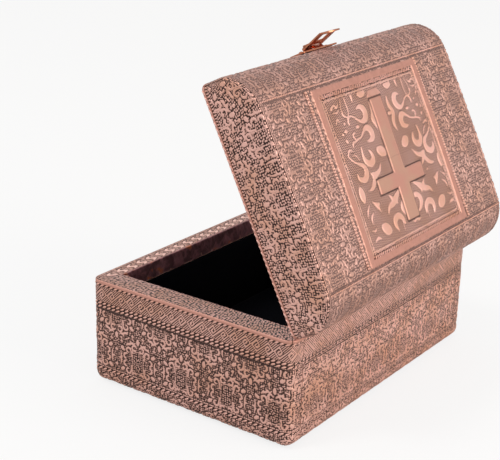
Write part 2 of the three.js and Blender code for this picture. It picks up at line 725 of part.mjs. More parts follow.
// The catch on the lower plate: a curved tongue that the hasp's window drops over.
function catchForm() {
  const tipZ = pivotZ - catchTipFromPivot;
  const shape = new THREE.Shape();
  shape.moveTo(plateFrontY + plateThickness / 2, tipZ - catchRadius);
  for (let step = 0; step <= cornerSteps; step += 1) {
    const angle = (step / cornerSteps) * (Math.PI / 2);
    shape.lineTo(plateFrontY - catchRadius * Math.sin(angle), tipZ - catchRadius * Math.cos(angle));
  }
  const innerRadius = catchRadius - catchWall;
  for (let step = cornerSteps; step >= 0; step -= 1) {
    const angle = (step / cornerSteps) * (Math.PI / 2);
    shape.lineTo(plateFrontY - innerRadius * Math.sin(angle), tipZ - innerRadius * Math.cos(angle));
  }
  shape.lineTo(plateFrontY + plateThickness / 2, tipZ - innerRadius);
  return sweptAlongX(shape, -catchWidth / 2, catchWidth / 2);
}

// The hasp, hanging straight down from its bar: two windows and a flared lip with a round end.
function haspForm() {
  const front = pivotY - haspThickness / 2;
  const back = pivotY + haspThickness / 2;
  const side = haspWidth / 2;
  const plate = block(-side, side, front, back, pivotZ - haspLength, pivotZ);
  const upperHalf = haspUpperWindowWidth / 2;
  const lowerHalf = haspWindowWidth / 2;
  const upperWindow = block(
    -upperHalf, upperHalf, front - overrun, back + overrun, pivotZ - haspUpperWindowEnd, pivotZ + overrun,
  );
  const lowerWindow = block(
    -lowerHalf, lowerHalf, front - overrun, back + overrun, pivotZ - haspWindowEnd, pivotZ - haspWindowStart,
  );
  const lipShape = new THREE.Shape();
  lipShape.absellipse(0, 0, side, lipLength, Math.PI, 2 * Math.PI, false, 0);
  const lipGeometry = new THREE.ExtrudeGeometry(lipShape, {
    depth: haspThickness, bevelEnabled: false, curveSegments: 2 * cornerSteps,
  });
  lipGeometry.rotateX(Math.PI / 2);
  lipGeometry.translate(0, haspThickness / 2, 0);
  lipGeometry.rotateX(THREE.MathUtils.degToRad(-lipFlareDegrees));
  lipGeometry.translate(0, pivotY, pivotZ - haspLength);
  const bend = barAlongX(haspThickness / 2, -side, side, pivotY, pivotZ - haspLength);
  return plate.subtract(upperWindow).subtract(lowerWindow)
    .add(toSolid(lipGeometry))
    .add(bend)
    .add(barAlongX(haspBarRadius, -side, side, pivotY, pivotZ));
}

// The latch: an upper plate with a bridge on the lid, a lower plate with a catch on the base, the
// hasp and the nails.
function addLatch() {
  const upper = plateForm(lidRimZ + upperPlateRise).add(bridgeForm());
  const lower = plateForm(baseHeight - lowerPlateDrop - plateHeight).add(catchForm());
  add(lid, 'latch_upper_plate', drillForNails(upper, upperNailZ), latchMetal);
  add(base, 'latch_lower_plate', drillForNails(lower, lowerNailZ), latchMetal);
  for (const [name, side] of nailPlaces) {
    add(lid, `latch_upper_nail_${name}`, nailForm(nailX(side), upperNailZ, 0), latchMetal);
    add(base, `latch_lower_nail_${name}`, nailForm(nailX(side), lowerNailZ, 0), latchMetal);
  }
  add(hasp, 'latch_hasp', haspForm(), latchMetal);
}

addBaseBoards();
addBaseSheets();
addRim(base, 'base', baseCornerRadius, baseHeight, -1, baseLeafFaceZ);
addLidBoards();
addLidSheets();
addRim(lid, 'lid', lidCornerRadius, lidRimZ, 1, lidLeafFaceZ);
addFabric();
addHinges();
addLatch();

const keepsakeBox = new THREE.Group();
keepsakeBox.add(base, lid);

export default keepsakeBox;
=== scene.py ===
import functools
import itertools
import json
import math

import bmesh
import bpy
import numpy as np
from mathutils import Matrix, Vector

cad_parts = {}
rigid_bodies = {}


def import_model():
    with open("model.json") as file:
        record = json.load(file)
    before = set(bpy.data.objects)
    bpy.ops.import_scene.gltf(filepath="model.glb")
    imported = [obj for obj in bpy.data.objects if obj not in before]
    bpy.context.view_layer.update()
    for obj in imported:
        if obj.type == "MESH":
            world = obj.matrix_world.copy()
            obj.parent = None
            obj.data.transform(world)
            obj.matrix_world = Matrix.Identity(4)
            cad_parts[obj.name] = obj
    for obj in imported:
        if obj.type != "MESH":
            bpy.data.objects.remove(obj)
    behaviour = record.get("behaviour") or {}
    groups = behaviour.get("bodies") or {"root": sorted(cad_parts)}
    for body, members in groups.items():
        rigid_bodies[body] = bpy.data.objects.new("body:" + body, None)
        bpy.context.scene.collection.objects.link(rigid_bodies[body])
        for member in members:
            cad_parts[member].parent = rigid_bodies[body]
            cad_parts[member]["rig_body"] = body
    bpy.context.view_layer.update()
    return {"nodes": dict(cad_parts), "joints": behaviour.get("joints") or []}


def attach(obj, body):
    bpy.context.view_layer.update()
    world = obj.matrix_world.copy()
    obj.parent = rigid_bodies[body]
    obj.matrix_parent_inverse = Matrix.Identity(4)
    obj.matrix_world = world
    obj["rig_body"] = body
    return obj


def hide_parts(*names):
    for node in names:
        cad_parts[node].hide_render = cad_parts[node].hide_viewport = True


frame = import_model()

bl_info = {
    "name": "Metal keepsake box",
    "version": (1, 0, 0),
    "blender": (4, 5, 0),
    "location": "3D View > Sidebar > Keepsake box",
    "description": "Embossed copper-toned keepsake box with a domed lid and a hasp latch",
    "category": "Add Mesh",
}

MM = 0.001
STEP = 8  # a sheet's inner side has one vertex for this many of its outer side
QUARTER = math.pi / 2
WHITE = (1.0, 1.0, 1.0, 1.0)


# ---------------------------------------------------------------- where the frame says things are

def joint(name):
    return next(entry for entry in frame["joints"] if entry["name"] == name)


LID_TURN = -math.radians(joint("lid_hinge")["range_deg"][0])
HINGE = np.array(joint("lid_hinge")["pos_m"]) / MM


def turned(points, angle):
    """Points, in mm, turned about the lid's hinge. An angle of more than 0 lifts the front."""
    y, z = points[..., 1] - HINGE[1], points[..., 2] - HINGE[2]
    cosine, sine = math.cos(angle), math.sin(angle)
    return np.stack([points[..., 0], HINGE[1] + y * cosine + z * sine, HINGE[2] - y * sine + z * cosine], -1)


def opened(points):
    """Points of the closed lid taken to where the open lid has them."""
    return turned(points, LID_TURN)


def closed(points):
    """Points of the open lid taken to where the closed lid has them."""
    return turned(points, -LID_TURN)


def unchanged(points):
    return points


def node_points(node):
    mesh = frame["nodes"][node].data
    flat = np.empty(len(mesh.vertices) * 3)
    mesh.vertices.foreach_get("co", flat)
    return flat.reshape(-1, 3) / MM


def limits(node, back=unchanged):
    points = back(node_points(node))
    return points.min(0), points.max(0)


(SHEET_SEAM, _, BASE_LOW), (HALF_X, HALF_Y, SHEET_TOP) = limits("base_right_sheet")
FRONT_END = limits("base_front_sheet")[1][0]
(RIM_INNER_X, _, RIM_LOW), (_, _, RIM_Z) = limits("base_rim_right")
RIM_INNER_Y = limits("base_rim_back")[0][1]
(_, _, LID_RIM_Z), (_, _, LID_RIM_HIGH) = limits("lid_rim_right", closed)
(LID_SEAM, _, LID_SHEET_Z), (_, _, TOP_Z) = limits("lid_right_sheet", closed)
COVER_END = limits("lid_top_sheet", closed)[1][0]


# ---------------------------------------------------------------- sizes and colours that a user may change

def in_mm(name, description, default, **range_):
    return bpy.props.FloatProperty(name=name, description=f"{description}, in mm", default=default, **range_)


def colour_of(name, description, *default):
    return bpy.props.FloatVectorProperty(name=name, description=f"Colour of {description}", subtype="COLOR",
                                         default=default)


def angle_of(name, description, degrees):
    return bpy.props.FloatProperty(name=name, description=description, subtype="ANGLE",
                                   default=math.radians(degrees))


class KeepsakeSizes(bpy.types.PropertyGroup):
    cell: in_mm("Cell", "Spacing of the points on the embossed sheets", 0.36, min=0.2)
    rim_cell: in_mm("Rim cell", "Spacing of the points on the rim strips", 0.45, min=0.2)
    relief: in_mm("Relief", "Depth of the embossing", 0.5, min=0)
    sheet: in_mm("Sheet", "Thickness of the sheet metal", 0.6, min=0.1)
    wall_corner: in_mm("Wall corner", "Radius of the base's upright corners", 5.5)
    bottom_edge: in_mm("Bottom edge", "Radius where the walls turn under the base", 5.0)
    flange: in_mm("Flange", "How far the wall sheets turn under the base", 8.0)
    lid_corner: in_mm("Lid corner", "Radius of the lid's upright corners", 4.0)
    lid_wall: in_mm("Lid wall", "Height of the lid's upright walls", 9.0)
    shoulder: in_mm("Shoulder", "Depth of the lid's rounded shoulders", 20.5)
    crown: in_mm("Crown", "Rise of the middle of the lid's top", 0.7)
    rosette_pitch: in_mm("Rosette pitch", "Distance between rosettes in a row", 28.7)
    rosette_rows: in_mm("Rosette rows", "Distance between two rows of rosettes", 24.0)
    bead_pitch: in_mm("Bead pitch", "Distance between the slanted beads of a rope border", 3.05)


class KeepsakeColours(bpy.types.PropertyGroup):
    raised: colour_of("Raised metal", "the figures that stand up", 0.87, 0.51, 0.435)
    warm: colour_of("Warm metal", "patches on the raised figures", 0.74, 0.39, 0.28)
    ground: colour_of("Ground", "the grained ground", 0.35, 0.185, 0.15)
    moat: colour_of("Patina", "the recesses", 0.03, 0.01, 0.007)
    plain: colour_of("Plain metal", "the smooth bands", 0.60, 0.29, 0.225)
    cross: colour_of("Cross", "the smooth cross", 0.58, 0.32, 0.235)
    # The inner fold's maroon, darker than the foil outside, is painted shade from inside the box and a
    # painted reflection of the dark lining.
    fold: colour_of("Inner fold", "the metal folded inwards", 0.48, 0.21, 0.23)
    worn: colour_of("Worn metal", "worn foil, which the lid's cover fades to", 0.36, 0.21, 0.18)
    # Painted glints: orange reflections painted onto the crumples of the inner fold.
    painted_glint: colour_of("Glint", "the bright patches of the inner fold", 0.75, 0.24, 0.12)
    latch: colour_of("Latch", "the latch", 0.66, 0.26, 0.15)
    hinge: colour_of("Hinges", "the hinges", 0.48, 0.29, 0.12)
    velvet: colour_of("Velvet", "the lining", 0.002, 0.002, 0.0035)
    felt: colour_of("Felt", "the felt under the base", 0.008, 0.008, 0.009)
    wood: colour_of("Wood", "the boards", 0.42, 0.25, 0.12)


class KeepsakeView(bpy.types.PropertyGroup):
    azimuth: angle_of("Azimuth", "Direction of the camera from the front", 125.42)
    elevation: angle_of("Elevation", "Height of the camera as an angle", 19.98)
    roll: angle_of("Roll", "Turn of the camera about its own axis", 1.61)
    distance: in_mm("Distance", "Distance from the camera to its target", 980.0)
    focal: bpy.props.FloatProperty(
        name="Focal length", description="Focal length in pixels of a picture 500 wide", default=1292.4)
    target: bpy.props.FloatVectorProperty(
        name="Target", description="Point on the camera's axis, in mm", subtype="XYZ",
        default=(-201.27, -169.13, -20.81))


def sizes():
    return bpy.context.scene.keepsake_sizes


def colours():
    return bpy.context.scene.keepsake_colours


# ---------------------------------------------------------------- drawing ornament

FAR = 9.0  # stands for no figure near by, in mm
REACH = 0.8  # how far outside a figure its distance is worked out
LINE_STEP = 0.22  # between the discs that make up a line
FIGURE_EDGE, FIGURE_FALL = 0.12, 0.36  # where a figure's side meets the moat, and how wide the side is
MOAT_EDGE, MOAT_FALL = 0.14, 0.24  # where the moat's floor ends, and how wide the ground's side is
LEAF_LENGTH = 0.86  # share of a leaf's length that its line of discs takes
LEAF_WIDTHS = (0.15, 0.62, 0.9, 1.0, 0.9, 0.62, 0.15)


def unmoved(x, y):
    return x, y


class Ornament:
    """Raised figures on a flat field, kept as the distance to the nearest figure, in mm. A tile repeats."""

    def __init__(self, width, height, cell, repeats=True):
        self.columns, self.rows = round(width / cell), round(height / cell)
        self.step_x, self.step_y = width / self.columns, height / self.rows
        self.repeats = repeats
        self.distance = np.full((self.rows, self.columns), FAR)

    def disc(self, x, y, radius):
        r = radius + REACH
        i = np.arange(math.floor((x - r) / self.step_x), math.ceil((x + r) / self.step_x) + 1)
        j = np.arange(math.floor((y - r) / self.step_y), math.ceil((y + r) / self.step_y) + 1)
        if not self.repeats:
            i, j = i[(i >= 0) & (i < self.columns)], j[(j >= 0) & (j < self.rows)]
        away = np.hypot(*np.meshgrid(i * self.step_x - x, j * self.step_y - y)) - radius
        window = np.ix_(j % self.rows, i % self.columns)
        self.distance[window] = np.minimum(self.distance[window], away)

    def stroke(self, points, radii, curved=True, move=unmoved):
        """A line through the points whose half width goes through the radii."""
        path = np.array(points, float)
        path = smooth_path(path) if curved and len(path) > 2 else path
        lengths = np.r_[0, np.cumsum(np.hypot(*np.diff(path, axis=0).T))]
        along = np.linspace(0, lengths[-1], max(2, int(lengths[-1] / LINE_STEP)))
        half = np.interp(along, np.linspace(0, lengths[-1], len(radii)), radii)
        xs, ys = (np.interp(along, lengths, path[:, k]) for k in (0, 1))
        for x, y, radius in zip(xs, ys, half):
            self.disc(*move(x, y), radius)

    def leaf(self, x, y, length, width, angle=0.0, move=unmoved):
        """A pointed oval."""
        across = np.array([math.cos(math.radians(angle)), math.sin(math.radians(angle))]) * length / 2
        ends = np.array([x, y]) + np.linspace(-LEAF_LENGTH, LEAF_LENGTH, 9)[:, None] * across
        self.stroke(ends, [share * width / 2 for share in LEAF_WIDTHS], curved=False, move=move)

    def curl(self, x, y, radius, start, end, radii, move=unmoved):
        """An arc with swelling width."""
        angles = np.radians(np.linspace(start, end, 13))
        self.stroke(np.stack([x + radius * np.cos(angles), y + radius * np.sin(angles)], -1), radii,
                    curved=False, move=move)

    def height(self, swell):
        """Rounded figures at 1, made wider all round by swell, in a narrow moat on the ground."""
        away = self.distance - swell
        raised = eased((FIGURE_EDGE - away) / FIGURE_FALL)
        apart = eased((away - MOAT_EDGE) / MOAT_FALL)
        return softened_grid(np.maximum(raised, GROUND_LEVEL * apart), self.repeats)


def smooth_path(points):
    """A Catmull-Rom path through the points."""
    ends = np.vstack([2 * points[0] - points[1], points, 2 * points[-1] - points[-2]])
    t = np.linspace(0, 1, 10, endpoint=False)[:, None]
    parts = []
    for a, b, c, d in zip(ends, ends[1:], ends[2:], ends[3:]):
        parts.append(0.5 * (2 * b + (c - a) * t + (2 * a - 5 * b + 4 * c - d) * t**2
                            + (3 * b - a - 3 * c + d) * t**3))
    return np.vstack([*parts, points[-1:]])


def eased(value):
    value = np.clip(value, 0, 1)
    return value * value * (3 - 2 * value)


def softened_grid(grid, repeats):
    """The grid with each value spread over its neighbours, so that coarser points can read it."""
    shift = np.roll if repeats else shifted
    for _ in range(2):
        for axis in (0, 1):
            grid = (shift(grid, 1, axis) + 2 * grid + shift(grid, -1, axis)) / 4
    return grid


def shifted(grid, by, axis):
    index = np.clip(np.arange(grid.shape[axis]) - by, 0, grid.shape[axis] - 1)
    return np.take(grid, index, axis)


def read_grid(grid, width, height, x, y, repeats=True):
    """The grid's value at each x and y, in mm."""
    rows, columns = grid.shape
    i, j = x / width * columns, y / height * rows
    if not repeats:
        i, j = np.clip(i, 0, columns - 1.001), np.clip(j, 0, rows - 1.001)
    i0, j0 = np.floor(i).astype(int), np.floor(j).astype(int)
    a, b = i - i0, j - j0
    near = [grid[(j0 + dj) % rows, (i0 + di) % columns] for dj in (0, 1) for di in (0, 1)]
    return near[0] * (1 - a) * (1 - b) + near[1] * a * (1 - b) + near[2] * (1 - a) * b + near[3] * a * b


TILE_CELL = 0.12
GROUND_LEVEL = 0.5
ROSETTE_SWELL, KEY_SWELL, PANEL_SWELL = 0.14, 0.16, 0.06
# A quarter of a rosette, in mm from its centre. Each line is its points and its half widths.
ROSETTE_LINES = [
    ([(1.8, 11.0), (2.7, 10.0), (4.1, 10.3), (5.3, 9.4), (6.7, 9.2), (7.9, 8.0)],
     [0.25, 0.5, 0.7, 0.6, 0.7, 0.2]),
    ([(4.2, 10.2), (5.3, 11.6)], [0.6, 0.25]),
    ([(4.5, 3.2), (4.7, 6.2), (6.1, 7.3), (7.6, 6.3), (7.3, 4.9), (6.2, 4.6)],
     [0.35, 0.45, 0.6, 0.6, 0.5, 0.4]),
    ([(11.7, 3.8), (11.2, 1.8), (11.5, 0.2), (13.2, 0.0)], [0.25, 0.5, 0.6, 0.25]),
    ([(3.6, 7.0), (3.6, 0.0)], [0.22, 0.22]),
    ([(0.0, 6.4), (3.5, 4.6)], [0.22, 0.22]),
    ([(3.6, 3.0), (6.5, 1.8)], [0.25, 0.22]),
]
# Curls: centre, radius, first and last angle, and half widths.
ROSETTE_CURLS = [
    (2.3, 7.8, 1.45, 165, -140, [0.35, 0.5, 0.55, 0.5, 0.4]),
    (7.9, 2.1, 1.5, 110, -80, [0.35, 0.6, 0.6, 0.5]),
]
# Leaves: where, length, width and angle.
ROSETTE_LEAVES = [
    (10.2, 5.8, 3.6, 2.1, 32), (3.1, 12.3, 1.9, 1.0, 50), (14.35, 4.2, 2.9, 1.0, 0),
    (14.35, 4.2, 2.9, 1.0, 90), (10.9, 9.8, 2.7, 1.0, 0), (10.9, 9.8, 2.7, 1.0, 90),
    (7.9, 11.6, 2.0, 0.9, -40),
]
ROSETTE_TIP = (11.6, 4.0, 2.3)  # the leaf above and below a rosette: how far out, its length and its width


@functools.lru_cache
def draw_rosettes(width, height):
    """One repeat of the rosette pattern: a rosette at its corner and one at its centre."""
    tile = Ornament(width, height, TILE_CELL)
    out, length, wide = ROSETTE_TIP
    for centre_x, centre_y in ((0, 0), (width / 2, height / 2)):
        for side, way in itertools.product((-1, 1), repeat=2):
            def move(x, y, origin=(centre_x, centre_y), sides=(side, way)):
                return origin[0] + sides[0] * x, origin[1] + sides[1] * y
            for curl in ROSETTE_CURLS:
                tile.curl(*curl, move)
            for points, radii in ROSETTE_LINES:
                tile.stroke(points, radii, move=move)
            for leaf in ROSETTE_LEAVES:
                tile.leaf(*leaf, move)
        for way in (-1, 1):
            tile.leaf(centre_x, centre_y + way * out, length, wide, 90)
    return tile.height(ROSETTE_SWELL)


KEY_WIDTH, KEY_HEIGHT = 13.2, 8.4
# Half of the key border's repeat, in mm from a square's centre: a square spiral and a long slanted line.
KEY_LINE = [(0.0, 0.9), (-1.0, -0.1), (0.1, -1.25), (1.6, 0.25), (0.0, 2.9), (-2.9, 0.0), (0.0, -3.0),
            (3.3, 0.0)]
KEY_HALF_WIDTH = 0.3


@functools.lru_cache
def draw_keys():
    """One repeat of the key border: two squares on their corners, each the other turned half round."""
    tile = Ornament(KEY_WIDTH, KEY_HEIGHT, TILE_CELL)
    for centre, side in ((0.25 * KEY_WIDTH, 1), (0.75 * KEY_WIDTH, -1)):
        tile.stroke([(centre + side * x, KEY_HEIGHT / 2 + side * y) for x, y in KEY_LINE],
                    [KEY_HALF_WIDTH] * 2, curved=False)
    return tile.height(KEY_SWELL)


PANEL_CELL = 0.15
# The figures of the lid's panel beside the cross: x is to one side of the middle, and y goes from the
# edge near the hinges to the edge near the latch, both in mm of the drawing. Each is mirrored.
PANEL_LINES = [
    ([(20.7, 91.6), (17.9, 92.3), (15.2, 90.5), (14.8, 88.3), (16.2, 85.9), (19.4, 84.9), (22.4, 86.2),
      (24.9, 88.2), (27.9, 89.3), (29.5, 88.9)], [0.5, 1.2, 2.0, 2.2, 2.0, 1.2, 0.8, 0.6, 0.6, 0.6]),
    ([(29.5, 88.9), (32.0, 90.0), (33.4, 91.8), (32.2, 92.6)], [0.6, 0.6, 0.7, 0.4]),
    ([(29.5, 88.6), (30.8, 87.2), (30.6, 85.4)], [0.6, 0.8, 0.5]),
    ([(27.9, 98.8), (27.9, 92.0), (29.2, 90.0)], [0.5, 0.45, 0.4]),
    ([(31.2, 98.5), (32.8, 95.0), (33.2, 92.0)], [0.4, 0.4]),
    ([(20.7, 75.0), (17.9, 74.8), (15.4, 76.0), (14.8, 78.0), (15.9, 80.3), (18.9, 81.2), (21.9, 79.7),
      (24.7, 78.0), (27.9, 77.4), (29.9, 77.0)], [0.5, 1.2, 2.0, 2.2, 2.0, 1.2, 0.8, 0.6, 0.6, 0.6]),
    ([(29.4, 77.5), (30.7, 79.5), (29.9, 81.0), (28.4, 80.8)], [0.5, 0.6, 0.6, 0.6]),
    ([(29.9, 77.0), (32.9, 76.3), (33.4, 74.5)], [0.6, 0.7, 0.4]),
    ([(8.9, 93.0), (8.1, 90.5), (8.3, 87.5), (10.4, 84.5)], [0.3, 1.2, 1.5, 1.2]),
    ([(10.4, 83.5), (7.9, 80.0), (7.5, 77.5), (8.7, 74.3)], [1.2, 1.6, 1.3, 0.3]),
    ([(5.6, 84.0), (9.9, 84.0)], [1.0, 1.0]),
    ([(22.4, 70.8), (20.7, 68.6), (20.9, 65.6), (23.9, 64.0), (26.9, 65.4), (28.2, 68.5), (27.5, 73.3)],
     [0.4, 1.3, 2.0, 2.0, 1.6, 0.8, 0.5]),
    ([(37.7, 62.0), (37.2, 59.3), (33.9, 58.0), (30.7, 59.5), (29.7, 62.5), (31.4, 65.0), (34.9, 66.6),
      (37.9, 68.6), (39.9, 71.0)], [0.4, 1.3, 1.8, 2.0, 1.7, 1.1, 0.7, 0.6, 0.5]),
    ([(31.9, 67.7), (34.4, 70.7), (36.4, 71.2)], [0.4, 0.5, 0.4]),
    ([(34.9, 72.8), (37.9, 73.8), (40.4, 71.4)], [0.4, 0.8, 0.4]),
    ([(15.7, 63.0), (18.4, 59.8), (22.4, 58.2), (26.5, 59.3)], [0.3, 1.1, 1.6, 0.8]),
    ([(24.9, 58.5), (25.4, 56.0), (27.9, 53.5), (30.4, 52.3), (33.4, 52.2)], [1.6, 1.5, 1.4, 1.0, 0.3]),
    ([(24.4, 57.0), (22.9, 55.0), (20.9, 53.3)], [1.2, 1.0, 0.4]),
    ([(30.2, 44.0), (33.2, 46.7)], [1.5, 0.3]),
    ([(30.2, 44.0), (27.2, 44.7)], [1.5, 0.3]),
    ([(30.2, 44.0), (28.2, 40.3)], [1.5, 0.3]),
    ([(4.4, 47.4), (8.4, 46.0), (12.6, 43.6), (16.2, 41.6), (20.4, 40.6), (22.9, 37.5)],
     [0.3, 1.0, 1.9, 1.9, 1.3, 0.3]),
    ([(17.6, 46.0), (15.6, 43.5)], [0.5, 1.3]),
    ([(13.2, 42.4), (12.4, 40.4)], [1.4, 0.5]),
    ([(3.1, 40.6), (6.9, 40.2), (9.2, 37.6), (7.9, 34.6), (3.9, 32.0)], [1.3, 1.6, 1.9, 1.3, 0.5]),
    ([(10.9, 29.5), (12.4, 33.0), (15.4, 34.8), (18.9, 33.6), (19.6, 31.0), (18.2, 27.6)],
     [0.5, 1.6, 1.8, 1.9, 1.5, 0.4]),
    ([(12.6, 31.0), (12.8, 26.6)], [0.4, 0.4]),
    ([(21.7, 99.6), (21.7, 97.6), (22.1, 95.4)], [1.2, 0.8, 0.3]),
    ([(33.6, 97.4), (36.0, 95.6), (38.0, 97.0), (40.6, 95.4)], [0.3, 0.8, 0.6, 0.9]),
    ([(34.6, 94.2), (37.2, 93.0), (40.6, 93.6)], [0.3, 0.7, 0.4]),
    ([(40.6, 88.0), (38.6, 90.0), (37.6, 88.2)], [0.5, 0.7, 0.4]),
    ([(36.2, 34.4), (38.2, 33.0), (40.6, 33.8)], [0.3, 0.7, 0.5]),
    ([(34.8, 28.4), (38.0, 29.4), (40.8, 28.2)], [0.3, 1.1, 0.4]),
    ([(34.6, 41.8), (37.6, 39.6), (38.4, 36.4)], [0.3, 0.8, 0.3]),
    ([(36.0, 45.8), (39.0, 43.6), (40.6, 40.4)], [0.3, 0.7, 0.3]),
    ([(4.2, 29.6), (2.4, 28.4), (0.0, 29.8)], [0.3, 0.8, 1.0]),
]
PANEL_LEAVES = [
    (11.9, 67.7, 8.6, 5.8, 25), (28.2, 31.5, 9.2, 6.2, 30), (39.4, 51.7, 9.5, 5.0, 90),
    (12.9, 98.2, 8.0, 4.4, 0), (24.6, 83.2, 4.2, 1.7, 0), (35.2, 83.0, 3.0, 2.2, 0),
    (36.9, 78.3, 2.6, 1.8, 45), (38.2, 82.0, 2.2, 1.6, 60), (34.2, 86.8, 2.0, 1.5, 30),
    (24.4, 50.0, 2.6, 1.5, 20),
]
FIGURE_SHIFT = -2.1  # the figures stand beside the middle of the frame and the cross
# Frame, field and cross: half widths along X, and places across the lid from the hinge axis.
FRAME_HALF, FRAME_LOW, FRAME_HIGH, FRAME_SIDE, FRAME_BAND = 49.3, 17.4, 107.0, 4.4, 3.4
FIELD_HALF, FIELD_LOW, FIELD_HIGH = 41.4, 24.8, 99.2
CROSS_HALF, CROSS_LOW, CROSS_HIGH = 5.5, 30.3, 94.0
ARM_HALF, ARM_LOW, ARM_HIGH = 22.0, 47.8, 55.3
CROSS_MOAT, CROSS_MOAT_TOP = 0.7, 0.6  # width of the recess round the cross
TAB_HALF, TAB_LOW, TAB_HIGH, TAB_SHOULDER, TAB_SLOPE = 6.5, 95.0, 98.4, 95.8, 0.9
COMB_OUT, COMB_HALF, COMB_PAST = 3.0, 1.5, 2.6  # from the field's edge out to a comb, and the comb's ground
BORDER_LEVEL, COMB_LEVEL = 0.72, 0.5
# Lines round the field: how far out each is and its height.
FIELD_RINGS = ((0.25, 0.3), (0.8, 1.0), (1.5, 0.4), (2.9, 0.95), (3.5, 0.45))
RING_HALF = 0.42
PANEL_X, PANEL_Y = 2 * FRAME_HALF, FRAME_HIGH - FRAME_LOW


@functools.lru_cache
def draw_panel():
    """The lid's panel, a framed field of scrolls and leaves round a plain cross, as four grids: its relief,
    where it is plain, where the cross is and where the ground is hatched."""
    panel = Ornament(PANEL_X, PANEL_Y, PANEL_CELL, repeats=False)
    for side in (-1, 1):
        def move(x, y, s=side):
            return PANEL_X / 2 + FIGURE_SHIFT + s * x, y - FRAME_LOW
        for points, radii in PANEL_LINES:
            panel.stroke(points, radii, move=move)
        for leaf in PANEL_LEAVES:
            panel.leaf(*leaf, move)
    x, y = np.meshgrid(np.abs(np.arange(panel.columns) * panel.step_x - PANEL_X / 2),
                       np.arange(panel.rows) * panel.step_y + FRAME_LOW)
    inside = box_height(x, y, FIELD_HALF, FIELD_LOW, FIELD_HIGH, 0.3)
    tab = box_height(x + TAB_SLOPE * np.maximum(y - TAB_SHOULDER, 0), y, TAB_HALF, TAB_LOW, TAB_HIGH)
    cross = cross_height(x, y, 0.0, 0.0)
    field = np.maximum(panel.height(PANEL_SWELL) * (1 - cross_height(x, y, CROSS_MOAT, CROSS_MOAT_TOP)),
                       np.maximum(cross, tab))
    frame_band = 1 - box_height(x, y, FRAME_HALF - FRAME_SIDE, FRAME_LOW + FRAME_BAND,
                                FRAME_HIGH - FRAME_BAND, 0.4)
    border = np.full_like(x, BORDER_LEVEL)
    middle, reach = (FIELD_LOW + FIELD_HIGH) / 2, (FIELD_HIGH - FIELD_LOW) / 2
    for out, value in FIELD_RINGS:
        border = mixed(border, value, ring_height(x, y, FIELD_HALF + out, middle, reach + out))
    comb = band(np.abs(np.abs(y - middle) - reach - COMB_OUT), -1, COMB_HALF)
    border = mixed(border, COMB_LEVEL, comb * band(x, -1, FIELD_HALF + COMB_PAST))
    border = mixed(border, 1.0, frame_band)
    plain = np.maximum(frame_band, inside * np.maximum(cross, 0.6 * tab))
    grids = [mixed(border, field, inside), plain, inside * cross, inside * (1 - cross)]
    return [softened_grid(grid, False) for grid in grids]


def cross_height(x, y, out, out_top):
    """The cross's upright and arms, made larger all round by out, and by out_top at the upright's top."""
    return np.maximum(box_height(x, y, CROSS_HALF + out, CROSS_LOW - out, CROSS_HIGH + out_top),
                      box_height(x, y, ARM_HALF + out, ARM_LOW - out, ARM_HIGH + out))


def box_height(x, y, half, low, high, edge=0.5):
    return eased((half - x) / edge + 0.5) * eased((y - low) / edge + 0.5) * eased((high - y) / edge + 0.5)


def ring_height(x, y, half, middle, reach):
    """A thin raised line round a rectangle."""
    away = np.maximum(x - half, np.abs(y - middle) - reach)
    return eased(1 - np.abs(away) / RING_HALF)


# ---------------------------------------------------------------- meshes from grids of points

def facing(points):
    """Unit normals of a grid of points."""
    across, up = np.gradient(points, axis=1), np.gradient(points, axis=0)
    normals = np.cross(across, up)
    return normals / np.maximum(np.linalg.norm(normals, axis=-1, keepdims=True), 1e-9)


def whole_steps(length, cell):
    """A number of points along a length that leaves a whole number of coarse steps between them."""
    return STEP * max(1, round(length / cell / STEP)) + 1


def sheet_mesh(name, points, rise, place, layers, thickness):
    """A closed sheet: the grid of points raised along its normals, and a coarse grid behind it. Two layers
    more, across and up, are a point's place on the sheet laid flat, in mm."""
    normals = facing(points)
    rows, columns = points.shape[:2]
    outer = place(points + normals * rise[..., None])
    inner = place(points - normals * thickness)[::STEP, ::STEP]
    vertices = np.vstack([outer.reshape(-1, 3), inner.reshape(-1, 3)]) * MM
    front = np.arange(rows * columns).reshape(rows, columns)
    back = rows * columns + np.arange(inner[..., 0].size).reshape(inner.shape[:2])
    quads = np.stack([front[:-1, :-1], front[:-1, 1:], front[1:, 1:], front[1:, :-1]], -1).reshape(-1, 4)
    backs = np.stack([back[:-1, :-1], back[1:, :-1], back[1:, 1:], back[:-1, 1:]], -1).reshape(-1, 4)
    skirts = []
    for fine, coarse in ((front[0], back[0]), (front[:, -1], back[:, -1]),
                         (front[-1, ::-1], back[-1, ::-1]), (front[::-1, 0], back[::-1, 0])):
        for k in range(len(coarse) - 1):
            skirts.append([*fine[k * STEP:(k + 1) * STEP + 1][::-1], coarse[k], coarse[k + 1]])
    loops = np.concatenate([quads.ravel(), backs.ravel(), np.concatenate(skirts)])
    totals = np.concatenate([np.full(len(quads) + len(backs), 4), [len(s) for s in skirts]])
    mesh = bpy.data.meshes.new(name)
    mesh.vertices.add(len(vertices))
    mesh.vertices.foreach_set("co", vertices.astype(np.float32).ravel())
    mesh.loops.add(len(loops))
    mesh.loops.foreach_set("vertex_index", loops.astype(np.int32))
    mesh.polygons.add(len(totals))
    mesh.polygons.foreach_set("loop_start", np.r_[0, np.cumsum(totals)[:-1]].astype(np.int32))
    mesh.polygons.foreach_set("use_smooth", np.arange(len(totals)) < len(quads))
    across = np.r_[0, np.linalg.norm(np.diff(points, axis=1), axis=-1).mean(0)].cumsum()
    up = np.r_[0, np.linalg.norm(np.diff(points, axis=0), axis=-1).mean(1)].cumsum()
    flat = dict(zip(("across", "up"), np.meshgrid(across, up)))
    for layer, values in {**layers, **flat}.items():
        full = np.concatenate([values.ravel(), values[::STEP, ::STEP].ravel()]).astype(np.float32)
        mesh.attributes.new(layer, "FLOAT", "POINT").data.foreach_set("value", full)
    mesh.update(calc_edges=True)
    mesh.validate()
    return mesh


